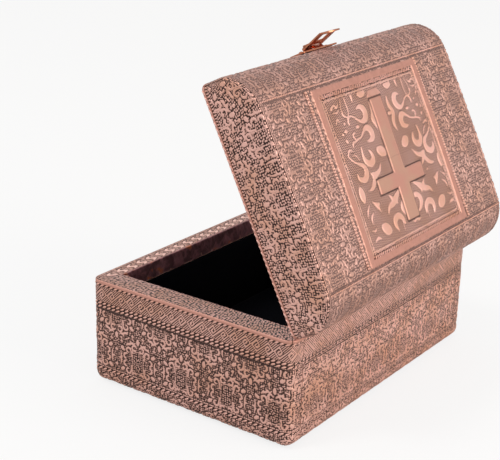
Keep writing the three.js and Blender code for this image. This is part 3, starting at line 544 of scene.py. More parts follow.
def foil_layers(relief, plain=0.0, cross=0.0, hatched=0.0, stripes=0.0, faded=0.0, **more):
    """What the foil's materials read at each point. stripes counts the lines of the hatching."""
    layers = {"relief": relief, "plain": plain, "cross": cross, "hatched": hatched, "stripes": stripes,
              "faded": faded, **more}
    return {name: values + np.zeros_like(relief) for name, values in layers.items()}


def keep_piece(name, mesh, body, nodes, material):
    """A finished piece that rides on a body, takes a slot's finish and stands for its nodes."""
    piece = bpy.data.objects.new(name, mesh)
    bpy.context.scene.collection.objects.link(piece)
    mesh.materials.clear()
    mesh.materials.append(material)
    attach(piece, body)
    if nodes:
        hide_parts(*nodes)
    return piece


SHARP, SMOOTH = math.radians(28), math.radians(50)  # edges that are rounded, and edges that shade smooth
SAME_PLACE = 1e-6


def softened(node, name, material, bevel):
    """A copy of a node with merged points and rounded edges."""
    source = frame["nodes"][node]
    shape = bmesh.new()
    shape.from_mesh(source.data)
    bmesh.ops.remove_doubles(shape, verts=shape.verts, dist=SAME_PLACE)
    bmesh.ops.dissolve_limit(shape, angle_limit=math.radians(1), verts=shape.verts, edges=shape.edges)
    sharp = [edge for edge in shape.edges if len(edge.link_faces) == 2 and edge.calc_face_angle(0) > SHARP]
    bmesh.ops.bevel(shape, geom=sharp, offset=bevel * MM, segments=2, profile=0.5, affect="EDGES",
                    clamp_overlap=True)
    bmesh.ops.remove_doubles(shape, verts=shape.verts, dist=SAME_PLACE)
    bmesh.ops.triangulate(shape, faces=[face for face in shape.faces if len(face.verts) > 4])
    bmesh.ops.recalc_face_normals(shape, faces=shape.faces)
    mesh = bpy.data.meshes.new(name)
    shape.to_mesh(mesh)
    shape.free()
    mesh.polygons.foreach_set("use_smooth", np.ones(len(mesh.polygons), bool))
    mesh.set_sharp_from_angle(angle=SMOOTH)
    return keep_piece(name, mesh, source["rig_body"], [node], material)


# ---------------------------------------------------------------- materials

def fill(tree, socket, given):
    """Links a socket to a value or an output, or sets it to a constant."""
    given = given.socket if isinstance(given, Value) else given
    if isinstance(given, bpy.types.NodeSocket):
        tree.links.new(given, socket)
    else:
        socket.default_value = given


def new_node(tree, kind, settings=None, **inputs):
    """Adds a node, sets it and fills its sockets, by name or as _0, _1 and so on. Gives its outputs."""
    made = tree.nodes.new(kind)
    for setting, value in (settings or {}).items():
        setattr(made, setting, value)
    for label, given in inputs.items():
        fill(tree, made.inputs[int(label[1:]) if label[0] == "_" else label.replace("_", " ")], given)
    return made.outputs


class Value:
    """A number that varies over a surface. Python's operators on it add Math nodes."""

    def __init__(self, tree, socket):
        self.tree, self.socket = tree, socket

    def maths(self, operation, first, second):
        made = new_node(self.tree, "ShaderNodeMath", {"operation": operation}, _0=first, _1=second)
        return Value(self.tree, made[0])

    def __add__(self, other):
        return self.maths("ADD", self, other)

    def __radd__(self, other):
        return self.maths("ADD", other, self)

    def __sub__(self, other):
        return self.maths("SUBTRACT", self, other)

    def __rsub__(self, other):
        return self.maths("SUBTRACT", other, self)

    def __mul__(self, other):
        return self.maths("MULTIPLY", self, other)

    def __rmul__(self, other):
        return self.maths("MULTIPLY", other, self)

    def wave(self):
        """Goes between 0 and 1, once for each whole step of the value."""
        return self.maths("SINE", self * (2 * math.pi), 0.0) * 0.5 + 0.5

    def over(self, low, high):
        """0 below low, 1 above high and smooth between."""
        made = new_node(self.tree, "ShaderNodeMapRange", {"interpolation_type": "SMOOTHSTEP"}, Value=self,
                        From_Min=low, From_Max=high)
        return Value(self.tree, made["Result"])


class Finish:
    """A material that is being put together. Distances in its bumps are in mm."""

    def __init__(self, name):
        self.material = bpy.data.materials.new(name)
        self.material.use_nodes = True
        self.tree = self.material.node_tree
        self.shader = self.tree.nodes["Principled BSDF"]
        self.places = new_node(self.tree, "ShaderNodeTexCoord")["Object"]

    def node(self, kind, settings=None, output=0, **inputs):
        return Value(self.tree, new_node(self.tree, kind, settings, **inputs)[output])

    def noise(self, scale, detail=2.0, roughness=0.5, distortion=0.0, places=None):
        return self.node("ShaderNodeTexNoise", Vector=places or self.places, Scale=scale, Detail=detail,
                         Roughness=roughness, Distortion=distortion)

    def layer(self, name):
        return self.node("ShaderNodeAttribute", {"attribute_name": name}, output="Fac")

    def mixed(self, share, first, second):
        """A colour between two colours."""
        return self.node("ShaderNodeMix", {"data_type": "RGBA", "clamp_factor": True}, output=2,
                         _0=share, _6=first, _7=second)

    def bump(self, height, strength, distance):
        return self.node("ShaderNodeBump", Height=height, Strength=strength, Distance=distance * MM)

    def surface(self, **inputs):
        for label, given in inputs.items():
            fill(self.tree, self.shader.inputs[label.replace("_", " ")], given)
        return self.material


def rgba(colour, share=1.0):
    return (*(share * channel for channel in colour), 1.0)


def foil_tones(foil, relief, pitch, contrast, middle):
    """The foil's colour and its height for a bump: dark moats, bright figures, and a ground that is hatched
    or has bubbles a pitch apart, in mm. The ground's texture shows by its contrast, and is darker where
    its middle is higher."""
    tint = colours()
    hatched = foil.layer("hatched")
    contrast = hatched * 0.3 + contrast
    grain, patches = foil.noise(1400, 3, 0.6), foil.noise(60, 3, 0.6)
    spots = foil.node("ShaderNodeCombineXYZ", X=foil.layer("across"), Y=foil.layer("up"))
    bubbles = 1 - foil.node("ShaderNodeTexVoronoi", {"voronoi_dimensions": "2D"}, Vector=spots,
                            Scale=1 / pitch, Randomness=0.5).over(0.22, 0.52)
    texture = bubbles + (foil.layer("stripes").wave() - bubbles) * hatched
    ground = relief.over(0.22, 0.42) * (1 - relief.over(0.6, 0.8))
    shown = relief + (texture - middle) * ground * contrast + (grain - 0.5) * 0.2
    low = foil.mixed(patches, rgba(tint.moat, 0.8), rgba(tint.moat, 1.3))
    even = foil.mixed(patches.over(0.3, 0.7), rgba(tint.ground), rgba(tint.ground, 0.82))
    high = foil.mixed(patches.over(0.35, 0.7), rgba(tint.raised), rgba(tint.warm))
    colour = foil.mixed(shown.over(0.08, 0.5), low, foil.mixed(shown.over(0.5, 0.92), even, high))
    return colour, relief * 1.2 + texture * ground * 1.6 + grain * 0.5


def foil_material():
    """Copper-toned foil: bright where it stands up, dark patina in the recesses."""
    foil = Finish("Embossed copper foil")
    tint = colours()
    relief, plain, cross = foil.layer("relief"), foil.layer("plain"), foil.layer("cross")
    colour, height = foil_tones(foil, relief, pitch=1.2, contrast=0.85, middle=0.5)
    colour = foil.mixed(foil.layer("faded"), colour, rgba(tint.worn))
    mottle = foil.noise(300, 4, 0.65)
    smooth = foil.mixed(mottle.over(0.35, 0.7), rgba(tint.plain), rgba(tint.plain, 0.86))
    gold = foil.mixed(foil.noise(45, 3).over(0.42, 0.6), rgba(tint.cross), rgba(tint.plain))
    return foil.surface(
        Base_Color=foil.mixed(plain, colour, foil.mixed(cross, smooth, gold)),
        Roughness=0.5 - relief * 0.08 + (mottle - 0.5) * 0.25, Metallic=0.35 + relief * 0.2,
        Normal=foil.bump(height + mottle * 0.5, 0.32, 0.16))


def strip_material():
    """Folded foil: grained on top. Where it turns inwards it is crumpled, with painted shade, painted glints
    and a painted highlight on its cut edge.
    """
    foil = Finish("Folded copper foil")
    tint = colours()
    relief, fold, quiet = foil.layer("relief"), foil.layer("fold"), foil.layer("quiet")
    colour, height = foil_tones(foil, relief, pitch=1.5, contrast=2.0 - quiet * 1.45, middle=0.35)
    colour = foil.mixed(quiet * relief.over(0.7, 0.9), colour, rgba(tint.raised, 1.45))
    patches, crumple = foil.noise(90, 3, 0.6), foil.noise(150, 4, 0.55, 0.6)
    smooth = foil.mixed(crumple, rgba(tint.plain, 0.9), rgba(tint.plain, 1.1))
    colour = foil.mixed(foil.layer("plain"), colour, smooth)
    # Painted shade: the fold is darkened where the crumples lie low.
    dark = foil.mixed(crumple.over(0.4, 0.6), rgba(tint.fold, 0.5), rgba(tint.fold))
    # Painted glints: orange reflections on the crumples' high parts, with more of them near a strip's ends.
    bright = (patches * 0.5 + crumple * 0.5 + foil.layer("near_end") * 0.11).over(0.56, 0.62)
    inside = foil.mixed(bright, dark, rgba(tint.painted_glint))
    # Painted highlight along the fold's cut edge, in patches.
    inside = foil.mixed(foil.layer("hem") * patches.over(0.35, 0.5), inside, rgba(tint.raised))
    return foil.surface(
        Base_Color=foil.mixed(fold, colour, inside), Roughness=0.42 + (crumple - 0.5) * 0.3,
        Metallic=0.4 + fold * 0.1, Normal=foil.bump(height * 0.5 + crumple * (fold * 2.0 + 0.3), 0.5, 0.4))


def metal_material(name, colour, roughness):
    metal = Finish(name)
    wear, grain = metal.noise(260, 4, 0.6), metal.noise(2200, 2)
    return metal.surface(
        Base_Color=metal.mixed(wear.over(0.35, 0.75), rgba(colour), rgba(colour, 0.72)),
        Metallic=1.0, Roughness=roughness + (wear - 0.5) * 0.18,
        Normal=metal.bump(grain + wear * 2.0, 0.12, 0.1))


def velvet_material(name, colour):
    velvet = Finish(name)
    nap, pile = velvet.noise(90, 3, 0.55), velvet.noise(2600, 2)
    return velvet.surface(
        Base_Color=velvet.mixed(nap, rgba(colour, 0.6), rgba(colour, 1.6)), Roughness=0.95,
        Sheen_Weight=0.01, Sheen_Roughness=0.45, Specular_IOR_Level=0.05,
        Normal=velvet.bump(pile + nap, 0.5, 0.25))


def wood_material():
    wood = Finish("Board wood")
    stretched = wood.node("ShaderNodeMapping", Vector=wood.places, Scale=(18.0, 260.0, 260.0))
    grain, fibre = wood.noise(1.0, 5.0, 0.6, 0.8, stretched), wood.noise(1500, 2)
    colour = wood.mixed(grain.over(0.3, 0.7), rgba(colours().wood, 0.6), rgba(colours().wood, 1.15))
    return wood.surface(Base_Color=colour, Roughness=0.75, Normal=wood.bump(grain + fibre * 0.4, 0.3, 0.2))


materials = {}


def finish(maker, *details):
    """Each material is made once. Its name, where it has details, comes first among them."""
    key = (maker, *details[:1])
    if key not in materials:
        materials[key] = maker(*details)
    return materials[key]


# ---------------------------------------------------------------- the base's wall sheets

def rosette_height(x, y, pitch=None):
    """The rosette pattern with a rosette at x, y = 0. Another pitch stretches it a little."""
    width, height = sizes().rosette_pitch, 2 * sizes().rosette_rows
    scale = (pitch or width) / width
    return read_grid(draw_rosettes(width, height), width, height, x / scale, y / scale)


def band(z, low, high, edge=0.3):
    return eased((z - low) / edge + 0.5) * eased((high - z) / edge + 0.5)


def line(z, middle, half):
    return eased(1 - np.abs(z - middle) / (half + 0.2))


def with_lines(height, places, lines, share=1.0):
    """The height with straight lines across it, each given by its place, half width and height."""
    for at, half, value in lines:
        height = mixed(height, value, line(places, at, half) * share)
    return height


# Heights on a wall, from the bottom of the base
ROPES_Z = (56.15, 46.1, 44.25, 8.75)
FIELD_TOP, FIELD_BOTTOM = 42.3, 10.8
KEY_LOW, KEY_TOP = 47.0, 55.4
ROW_Z = 18.7  # the lower row of rosettes
HATCH_PITCH = 0.95
LEAFY_X, LEAFY_Z, LEAFY_WIDE, LEAFY_TALL = -4.0, -0.6, 0.8, 0.62  # place and scale of the foot's leaves
LEAFY_TOP, LEAFY_UNDER = 7.3, -20.0  # they go on under the base
# Lines along a wall: height, half width and relief, from 0 for the deepest to 1
WALL_LINES = (*((rope, 0.9, 0.12) for rope in ROPES_Z), (42.85, 0.3, 0.0), (7.6, 0.2, 0.85),
              (10.1, 0.25, 0.95), (55.1, 0.15, 0.75), (47.3, 0.15, 0.75), (43.35, 0.1, 0.8))
BACK_ROSETTES, FRONT_ROSETTES, END_ROSETTES = (9.0, 29.4), (-12.5, 28.7), (-3.1, None)  # centre and pitch


def wall_relief(along, z, rosettes):
    """Relief of a wall of the base, from 0 to 1: borders above and below a field of rosettes. With it, where
    the ground is hatched and the hatching's count."""
    centre, pitch = rosettes
    in_keys = band(z, KEY_LOW, KEY_TOP)
    height = mixed(0.3, read_grid(draw_keys(), KEY_WIDTH, KEY_HEIGHT, along, z - KEY_LOW), in_keys)
    height = mixed(height, rosette_height(along - centre, z - ROW_Z, pitch), band(z, FIELD_BOTTOM, FIELD_TOP))
    leafy = rosette_height((along - LEAFY_X) / LEAFY_WIDE, (z - LEAFY_Z) / LEAFY_TALL)
    height = mixed(height, leafy, band(z, LEAFY_UNDER, LEAFY_TOP))
    return with_lines(height, z, WALL_LINES), in_keys, (along - z) / HATCH_PITCH / math.sqrt(2)


def keep_foil(name, body, node, points, layers, lift=0.0, place=unchanged):
    """A piece of embossed foil that stands for a node of the frame. Its points are those of the highest
    figures, and lift raises some of them more."""
    rise = sizes().relief * (layers["relief"] - 1) + lift
    mesh = sheet_mesh(name, points, rise, place, layers, sizes().sheet)
    keep_piece(name, mesh, body, [node], finish(foil_material))


def back_relief(height, hatched):
    """The relief of the back, which is pressed less deeply than the other sides."""
    return mixed(0.25 + 0.75 * height, 0.45 + 0.42 * height, hatched)


def mixed(first, second, share):
    return first + (second - first) * share


# The bare plaque on the front's right half, and its field's rows of squares
PLAQUE_HALF, PLAQUE_TALL, PLAQUE_CORNER, PLAQUE_BORDER = 38.2, 25.49, 8.0, 2.0
PLAQUE_X, PLAQUE_Z, SQUARE_PITCH, PLAQUE_LIFT, PLAQUE_SUNK = 39.9, 25.79, 1.5, 0.4, 0.2
BEADING_PITCH, BEADING_IN, RIDGE_IN, PLAQUE_EDGE = 1.6, 0.6, 1.5, 0.5


def rounded_box_distance(x, y, half_x, half_y, radius):
    """Signed distance from a rounded rectangle, less than 0 inside."""
    away_x, away_y = np.abs(x) - half_x + radius, np.abs(y) - half_y + radius
    outside = np.hypot(np.maximum(away_x, 0), np.maximum(away_y, 0))
    return outside + np.minimum(np.maximum(away_x, away_y), 0) - radius


SQUARE_LOW, SQUARE_RISE, BEADING_MIDDLE, BEADING_SWING, PLAQUE_GROUND = 0.12, 0.7, 0.62, 0.3, 0.2


def add_plaque(x, z, height):
    """A bare plaque with a thin raised border and a field of fine squares. Gives the height and the lift."""
    away = rounded_box_distance(x - PLAQUE_X, z - PLAQUE_Z, PLAQUE_HALF, PLAQUE_TALL / 2, PLAQUE_CORNER)
    inside = eased(0.5 - away / PLAQUE_EDGE)
    field = eased(0.5 - (away + PLAQUE_BORDER) / PLAQUE_EDGE)
    waves = np.cos(2 * math.pi * x / SQUARE_PITCH) * 0.5 + np.cos(2 * math.pi * z / SQUARE_PITCH) * 0.5
    squares = SQUARE_LOW + SQUARE_RISE * eased(0.5 + waves)
    beading = BEADING_MIDDLE + BEADING_SWING * np.cos(2 * math.pi * (x + z) / BEADING_PITCH)
    border = np.maximum(PLAQUE_GROUND, line(away, -RIDGE_IN, 0.3))
    border = np.maximum(border, beading * line(away, -BEADING_IN, 0.4))
    return mixed(height, mixed(border, squares, field), inside), PLAQUE_LIFT * inside - PLAQUE_SUNK * field


def wall_profile(distance):
    """Inset from the wall and height of a point at a distance up the sheet from the flange's inner edge."""
    radius, flange = sizes().bottom_edge, sizes().flange
    flat = flange - radius
    angle = np.clip((distance - flat) / radius, 0, QUARTER)
    inset = np.where(distance < flat, flange - distance, radius * (1 - np.sin(angle)))
    return inset, BASE_LOW + radius * (1 - np.cos(angle)) + np.maximum(distance - flat - radius * QUARTER, 0)


PATTERN_TURN = 1.5  # how far in under the base a wall's pattern starts to go on downwards
LEAST_CORNER = 0.15  # smallest radius of an upright corner, under the base
END_DEEPENED = 1.3  # power that draws down the middle heights of an end's rosettes


def wall_grid(total):
    """Places along a wall and up its sheet, with the inset, height and pattern height of each."""
    size = sizes()
    length = size.flange + (QUARTER - 2) * size.bottom_edge + SHEET_TOP - BASE_LOW
    columns, rows = whole_steps(total, size.cell), whole_steps(length, size.cell)
    along, distance = np.meshgrid(np.linspace(-total / 2, total / 2, columns), np.linspace(0, length, rows))
    inset, z = wall_profile(distance)
    return along, inset, z, z - np.maximum(inset - PATTERN_TURN, 0)


def keep_wall(side, points, height, lift, hatched, stripes):
    layers = foil_layers(height, hatched=hatched, stripes=stripes)
    keep_foil(f"{side}_wall_sheet", "base", f"base_{side}_sheet", points, layers, lift)


def add_wall_sheet(side, way):
    """The front or back sheet, flat along X, turned under at the bottom."""
    along, inset, z, pattern_z = wall_grid(2 * FRONT_END)
    x, lift = -way * along, 0.0
    height, hatched, stripes = wall_relief(x, pattern_z, BACK_ROSETTES if way > 0 else FRONT_ROSETTES)
    if way > 0:
        height = back_relief(height, hatched)
    else:
        height, lift = add_plaque(x, z, height)
    keep_wall(side, np.stack([x, way * (HALF_Y - inset), z], -1), height, lift, hatched, stripes)


def add_end_sheet(side, way):
    """An end sheet, which turns both upright corners."""
    radius = sizes().wall_corner
    arc, middle = radius * QUARTER, HALF_Y - radius
    along, inset, z, pattern_z = wall_grid(2 * (HALF_X - radius - SHEET_SEAM + arc + middle))
    corner = np.maximum(radius - inset, LEAST_CORNER)
    past = np.abs(along) - middle
    angle = np.clip(past / radius, 0, QUARTER)
    centre_x, centre_y = HALF_X - inset - corner, HALF_Y - inset - corner
    x = centre_x + corner * np.cos(angle) - np.maximum(past - arc, 0)
    y = np.where(past < 0, np.abs(along) * centre_y / middle, centre_y + corner * np.sin(angle))
    height, hatched, stripes = wall_relief(way * along, pattern_z, END_ROSETTES)
    beside = np.where(way * along > 0, back_relief(height, hatched), height)
    height = mixed(mixed(height, height**END_DEEPENED, 1 - hatched), beside, eased(past / arc))
    keep_wall(side, np.stack([way * x, way * np.sign(along) * y, z], -1), height, 0.0, hatched, stripes)


class KEEPSAKE_OT_base_sheets(bpy.types.Operator):
    """Adds the four embossed wall sheets of the base"""
    bl_idname = "keepsake.base_sheets"
    bl_label = "Base sheets"

    def execute(self, context):
        add_wall_sheet("front", -1)
        add_wall_sheet("back", 1)
        add_end_sheet("right", 1)
        add_end_sheet("left", -1)
        return {"FINISHED"}


# ---------------------------------------------------------------- the rims

def corner_cut(along, end, radius):
    """How far a rounded corner of the plan draws in the edge at a place along it."""
    past = np.clip(np.abs(along) - (end - radius), 0, radius)
    return radius - np.sqrt(np.maximum(radius**2 - past**2, 0))


RIM_FOLD, RIM_SHEET, RIM_RELIEF, RIM_CLEAR, MITRE_GAP = 0.8, 0.3, 0.25, 0.3, 0.15
BLOB_PITCH, BLOB_LEAN, BLOB_TURN = 7.9, 1.5, 1.3  # the curved figures along the front and back rims
CRUMPLES = ((9.1, 0.5), (5.3, -0.8), (3.1, 1.1))  # wavelength along the strip in mm, and slant
CRUMPLE_SEED = 11
CRUMPLE_DEPTH, CRUMPLE_TOP, FOLD_SINK = 0.2, 0.3, 0.12
# Near a strip's end the fold also gets more painted glints.
NEAR_END, NEAR_END_FALL = 26, 14  # the last stretch of a strip, where the fold is crumpled more
# A figure and its moat: where on the wave it starts, and the shares of the web that it lies between
BLOB_SPANS = ((0.25, 0.3, 0.88), (-0.3, 0.2, 0.95))
END_RIM_LEVEL, LONG_RIM_LEVEL, RIM_MOAT_LEVEL, RIM_EDGE_LEVEL, FOLD_LEVEL = 0.61, 0.64, 0.2, 0.75, 0.8
RIM_EDGE, FOLD_START = 0.6, 1.2


def strip_profile(distance, outer, web):
    """How far in from the wall's face and how far down from the rim a strip is, at a distance across it from
    its outer edge. Two rounded folds join its outer flange, its web and its inner flange."""
    stops = np.cumsum([outer - RIM_FOLD, RIM_FOLD * QUARTER, web - 2 * RIM_FOLD, RIM_FOLD * QUARTER])
    first, second = [np.clip((distance - stops[k]) / RIM_FOLD, 0, QUARTER) for k in (0, 2)]
    flat = np.clip(distance - stops[1], 0, web - 2 * RIM_FOLD)
    drop = np.where(distance < stops[0], outer - distance, 0)
    drop = np.where((distance >= stops[0]) & (distance < stops[1]), RIM_FOLD * (1 - np.sin(first)), drop)
    drop = drop + RIM_FOLD * (1 - np.cos(second)) + np.maximum(distance - stops[3], 0)
    return RIM_FOLD * (1 - np.cos(first)) + flat + RIM_FOLD * np.sin(second), drop


def mitre(depth, half, web, radius, slope):
    """Where each row of a strip ends at the mitre, found by halving the range that holds the place."""
    low, high = np.zeros_like(depth), np.full_like(depth, half)
    for _ in range(40):
        guess = (low + high) / 2
        cut = corner_cut(guess, half, radius)
        behind = (half - guess) * slope > cut + depth * (1 - cut / web)
        low, high = np.where(behind, guess, low), np.where(behind, high, guess)
    return low - MITRE_GAP


def rim_ornament(along, inset, depth, distance, total, web, half, ends):
    """A strip's layers and its rise: figures on the front and back rims, and crumples in the inner fold."""
    top = band(depth, RIM_EDGE, web - RIM_EDGE, 0.8)
    fold = eased((depth - web + FOLD_START) / FOLD_START)
    height = np.full_like(along, END_RIM_LEVEL if ends else LONG_RIM_LEVEL)
    if not ends:
        wave = np.cos(
            2 * math.pi * (along + BLOB_LEAN * np.sin(BLOB_TURN * (inset - 0.6 * web))) / BLOB_PITCH)
        blobs, moats = (eased((wave - start) / 0.3) * band(inset, low * web, high * web, 1.0)
                        for start, low, high in BLOB_SPANS)
        height = np.maximum(mixed(height, RIM_MOAT_LEVEL, moats), blobs)
    height = mixed(mixed(RIM_EDGE_LEVEL, height, top), FOLD_LEVEL, fold)
    chance = np.random.default_rng(CRUMPLE_SEED)
    waves = sum(np.cos(2 * math.pi * (along / p + chance.random()) + q * distance) for p, q in CRUMPLES)
    near_end = eased((np.abs(along) - half + NEAR_END) / NEAR_END_FALL)
    crumple = CRUMPLE_DEPTH * waves * fold * (0.3 + near_end)
    # The hem layer marks the strip's last 0.8 mm, where a highlight is painted along the fold's cut edge.
    layers = foil_layers(height, eased((0.9 - depth) / 0.6), fold=fold, near_end=near_end,
                         hem=eased((distance - total + 0.8) / 0.4), quiet=0.0 if ends else 1.0)
    return layers, RIM_RELIEF * (height - 1) + np.minimum(crumple, CRUMPLE_TOP) - FOLD_SINK * fold


def rim_strip(side, body, radius, face_z, inward, outer, inner, place):
    """A strip folded over the top of a wall, mitred at both ends."""
    cell = sizes().rim_cell
    ends = side in ("right", "left")
    webs, halves = (HALF_X - RIM_INNER_X, HALF_Y - RIM_INNER_Y), (HALF_Y, HALF_X)
    web, half = (webs[0], halves[0]) if ends else (webs[1], halves[1])
    slope = (webs[0] / webs[1]) ** (1 if ends else -1)
    total = outer + web + inner - 4 * RIM_FOLD + 2 * RIM_FOLD * QUARTER
    distance = np.linspace(0, total, whole_steps(total, cell))[:, None]
    depth, drop = strip_profile(distance, outer, web)
    along = np.linspace(-1, 1, whole_steps(2 * half, cell)) * mitre(depth, half, web, radius, slope)
    cut = corner_cut(along, half, radius)
    inset = cut + depth * (1 - cut / web)
    z = face_z + inward * drop + 0 * along
    way = 1 if side in ("right", "back") else -1
    out = way * ((HALF_X if ends else HALF_Y) - inset)
    points = np.stack([out, way * along, z] if ends else [-way * along, out, z], -1)
    layers, rise = rim_ornament(along, inset, depth, distance, total, web, half, ends)
    if inward > 0:
        points, rise = points[:, ::-1], rise[:, ::-1]
        layers = {key: value[:, ::-1] for key, value in layers.items()}
    mesh = sheet_mesh(f"{body}_{side}_strip", points, rise, place, layers, RIM_SHEET)
    keep_piece(f"{body}_{side}_strip", mesh, body, [f"{body}_rim_{side}"],
               finish(strip_material))


class KEEPSAKE_OT_rims(bpy.types.Operator):
    """Adds the folded rim strips of the base and the lid"""
    bl_idname = "keepsake.rims"
    bl_label = "Rims"

    def execute(self, context):
        size = sizes()
        for side in ("front", "back", "left", "right"):
            rim_strip(side, "base", size.wall_corner, RIM_Z, -1, RIM_Z - SHEET_TOP - RIM_CLEAR,
                      RIM_Z - RIM_LOW, unchanged)
            rim_strip(side, "lid", size.lid_corner, LID_RIM_Z, 1, LID_SHEET_Z - LID_RIM_Z - RIM_CLEAR,
                      LID_RIM_HIGH - LID_RIM_Z, opened)
        return {"FINISHED"}


# ---------------------------------------------------------------- the lid's sheets

def lid_outline():
    """The lid's closed end outline from the front wall's foot to the back wall's foot, y and z."""
    size = sizes()
    wall_top = LID_RIM_Z + size.lid_wall
    rise = TOP_Z - size.crown - wall_top
    angles = np.linspace(0, QUARTER, 60)
    flat = HALF_Y - size.shoulder
    front = np.stack([-HALF_Y + size.shoulder * (1 - np.cos(angles)), wall_top + rise * np.sin(angles)], -1)
    across = np.linspace(-1, 1, 40)[1:-1]
    crown = np.stack([across * flat, TOP_Z - size.crown * across**2], -1)
    back = (front * [-1, 1])[::-1]
    return np.vstack([[(-HALF_Y, LID_SHEET_Z)], front, crown, back, [(HALF_Y, LID_SHEET_Z)]])


def along_outline(outline, places):
    """Points of the outline at distances along it, and its whole length."""
    lengths = np.r_[0, np.cumsum(np.hypot(*np.diff(outline, axis=0).T))]
    return np.stack([np.interp(places, lengths, outline[:, k]) for k in (0, 1)], -1), lengths[-1]


# Places across the lid are in mm from the hinge axis, and places along it from its middle.
RIDGE_FRONT, RIDGE_BACK = 107.9, 16.6
RIDGE_OUT = 1.1  # how far outside a ridge line its beads run
RIDGE_GROUND, RIDGE_GROUND_HALF = 0.45, 0.7
COVER_TOP_HALF = 46.2  # from the middle of the outline to where the top's parts meet the shoulders' parts
TOP_ROSETTES, SHOULDER_ROSETTES = (49.2, 77.4, 29.2), (14.0, 12.0)  # the first one's place, and a pitch
# Lines: place, half width and relief
SIDE_LINES = ((49.7, 0.3, 0.05), (52.7, 0.25, 0.1))  # beside the panel
END_LINES = ((0.5, 0.25, 0.95), (1.2, 0.2, 0.05), (1.8, 0.15, 0.8))  # in from the cover's ends
FOOT_LINES = ((0.0, 0.8, 0.9), (1.4, 0.25, 0.0), (2.2, 0.2, 0.8))  # up from the cover's feet
HATCH_SWAY, HATCH_WAVE = 0.35, 2.6  # the panel's hatched lines sway by this much, over this length
COVER_FADED = 0.45  # how far the cover outside the panel goes over to worn foil
PANEL_LIFT, PANEL_ASIDE = 0.2, 0.3
PANEL_LEAN = (0.050, 0.028)  # how much the panel's middle leans sideways, and how much less its frame does


def cover_layers(x, y, beyond):
    """The layers of the lid's cover and how far its panel stands up. beyond is the distance down a shoulder
    from its ridge line, or less than 0."""
    across, side = HINGE[1] - y, np.abs(x)
    past = eased(beyond / 0.4 + 0.5)
    at_x, at_y, pitch = TOP_ROSETTES
    height = mixed(rosette_height(across - at_x, side - at_y, pitch),
                   rosette_height(x - SHOULDER_ROSETTES[0], beyond - SHOULDER_ROSETTES[1]), past)
    height = with_lines(height, side, SIDE_LINES, 1 - past)
    for at, out in ((RIDGE_BACK, -RIDGE_OUT), (RIDGE_FRONT, RIDGE_OUT)):
        height = mixed(height, 0.0, line(across, at, 0.3))
        height = mixed(height, RIDGE_GROUND, band(np.abs(across - at - out), -1, RIDGE_GROUND_HALF))
    height = with_lines(height, COVER_END - side, END_LINES)
    lean = PANEL_LEAN[0] - PANEL_LEAN[1] * np.minimum(side / FRAME_HALF, 1)
    moved = x + PANEL_ASIDE + (across - CROSS_LOW) * lean
    in_panel = box_height(np.abs(moved), across, FRAME_HALF, FRAME_LOW, FRAME_HIGH, 0.3)
    drawn, plain, cross, ground = [
        read_grid(grid, PANEL_X, PANEL_Y, moved + FRAME_HALF, across - FRAME_LOW, repeats=False)
        for grid in draw_panel()]
    stripes = (across + HATCH_SWAY * np.sin(2 * math.pi * x / HATCH_WAVE)) / HATCH_PITCH
    layers = foil_layers(mixed(height, drawn, in_panel), plain * in_panel, cross * in_panel,
                         ground * in_panel, stripes, COVER_FADED * (1 - in_panel))
    return layers, PANEL_LIFT * plain * in_panel


def add_cover_part(name, start, end):
    """A part of the cover between two places along the lid's outline, in mm from the front foot."""
    size = sizes()
    columns, rows = whole_steps(2 * COVER_END, size.cell), whole_steps(end - start, size.cell)
    x, places = np.meshgrid(np.linspace(-COVER_END, COVER_END, columns), np.linspace(start, end, rows))
    outline, total = along_outline(lid_outline(), places)
    reach = HALF_Y - corner_cut(x, HALF_X, size.lid_corner)
    y, z = np.clip(outline[..., 0], -reach, reach), outline[..., 1]
    ridge_front, ridge_back = total / 2 + HINGE[1] - RIDGE_FRONT, total / 2 + HINGE[1] - RIDGE_BACK
    layers, lift = cover_layers(x, y, np.maximum(ridge_front - places, places - ridge_back))
    layers["relief"] = with_lines(layers["relief"], np.minimum(places, total - places), FOOT_LINES)
    keep_foil(name, "lid", "lid_top_sheet", np.stack([x, y, z], -1), layers, lift, opened)


class KEEPSAKE_OT_lid_cover(bpy.types.Operator):
    """Adds the embossed sheet over the lid's front, top and back"""
    bl_idname = "keepsake.lid_cover"
    bl_label = "Lid cover"

    def execute(self, context):
        total = along_outline(lid_outline(), np.zeros(1))[1]
        break_at = total / 2 - COVER_TOP_HALF
        stops = (0, break_at, total / 2, total - break_at, total)
        for part, start, end in zip(("front", "top", "rear", "back"), stops, stops[1:]):
            add_cover_part(f"lid_cover_{part}", start, end)
        return {"FINISHED"}


def outline_distance(y, z, outline):
    """Distance of each point from the outline, in mm."""
    nearest = np.full(y.shape, math.inf)
    for a, b in zip(outline, outline[1:]):
        run = b - a
        t = np.clip(((y - a[0]) * run[0] + (z - a[1]) * run[1]) / (run @ run), 0, 1)
        nearest = np.minimum(nearest, np.hypot(y - a[0] - t * run[0], z - a[1] - t * run[1]))
    return nearest


LID_END_ROSETTES = (20.6, 0.4, 29.3)  # from the hinge axis, up from the rim, and the pitch
DASH_PITCH, DASHES_TOP = 1.5, 3.1
LID_END_RAISED = 0.85  # power that lifts the middle heights of the rosettes
CROWDED, TURNED_OVER = 1.12, 2  # how close the rows get towards the cover, and the length that turns over
CREASE_IN, CREASE_START, CREASE_FADE = 1.0, 8, 4  # the line by the cover, which starts above the wall


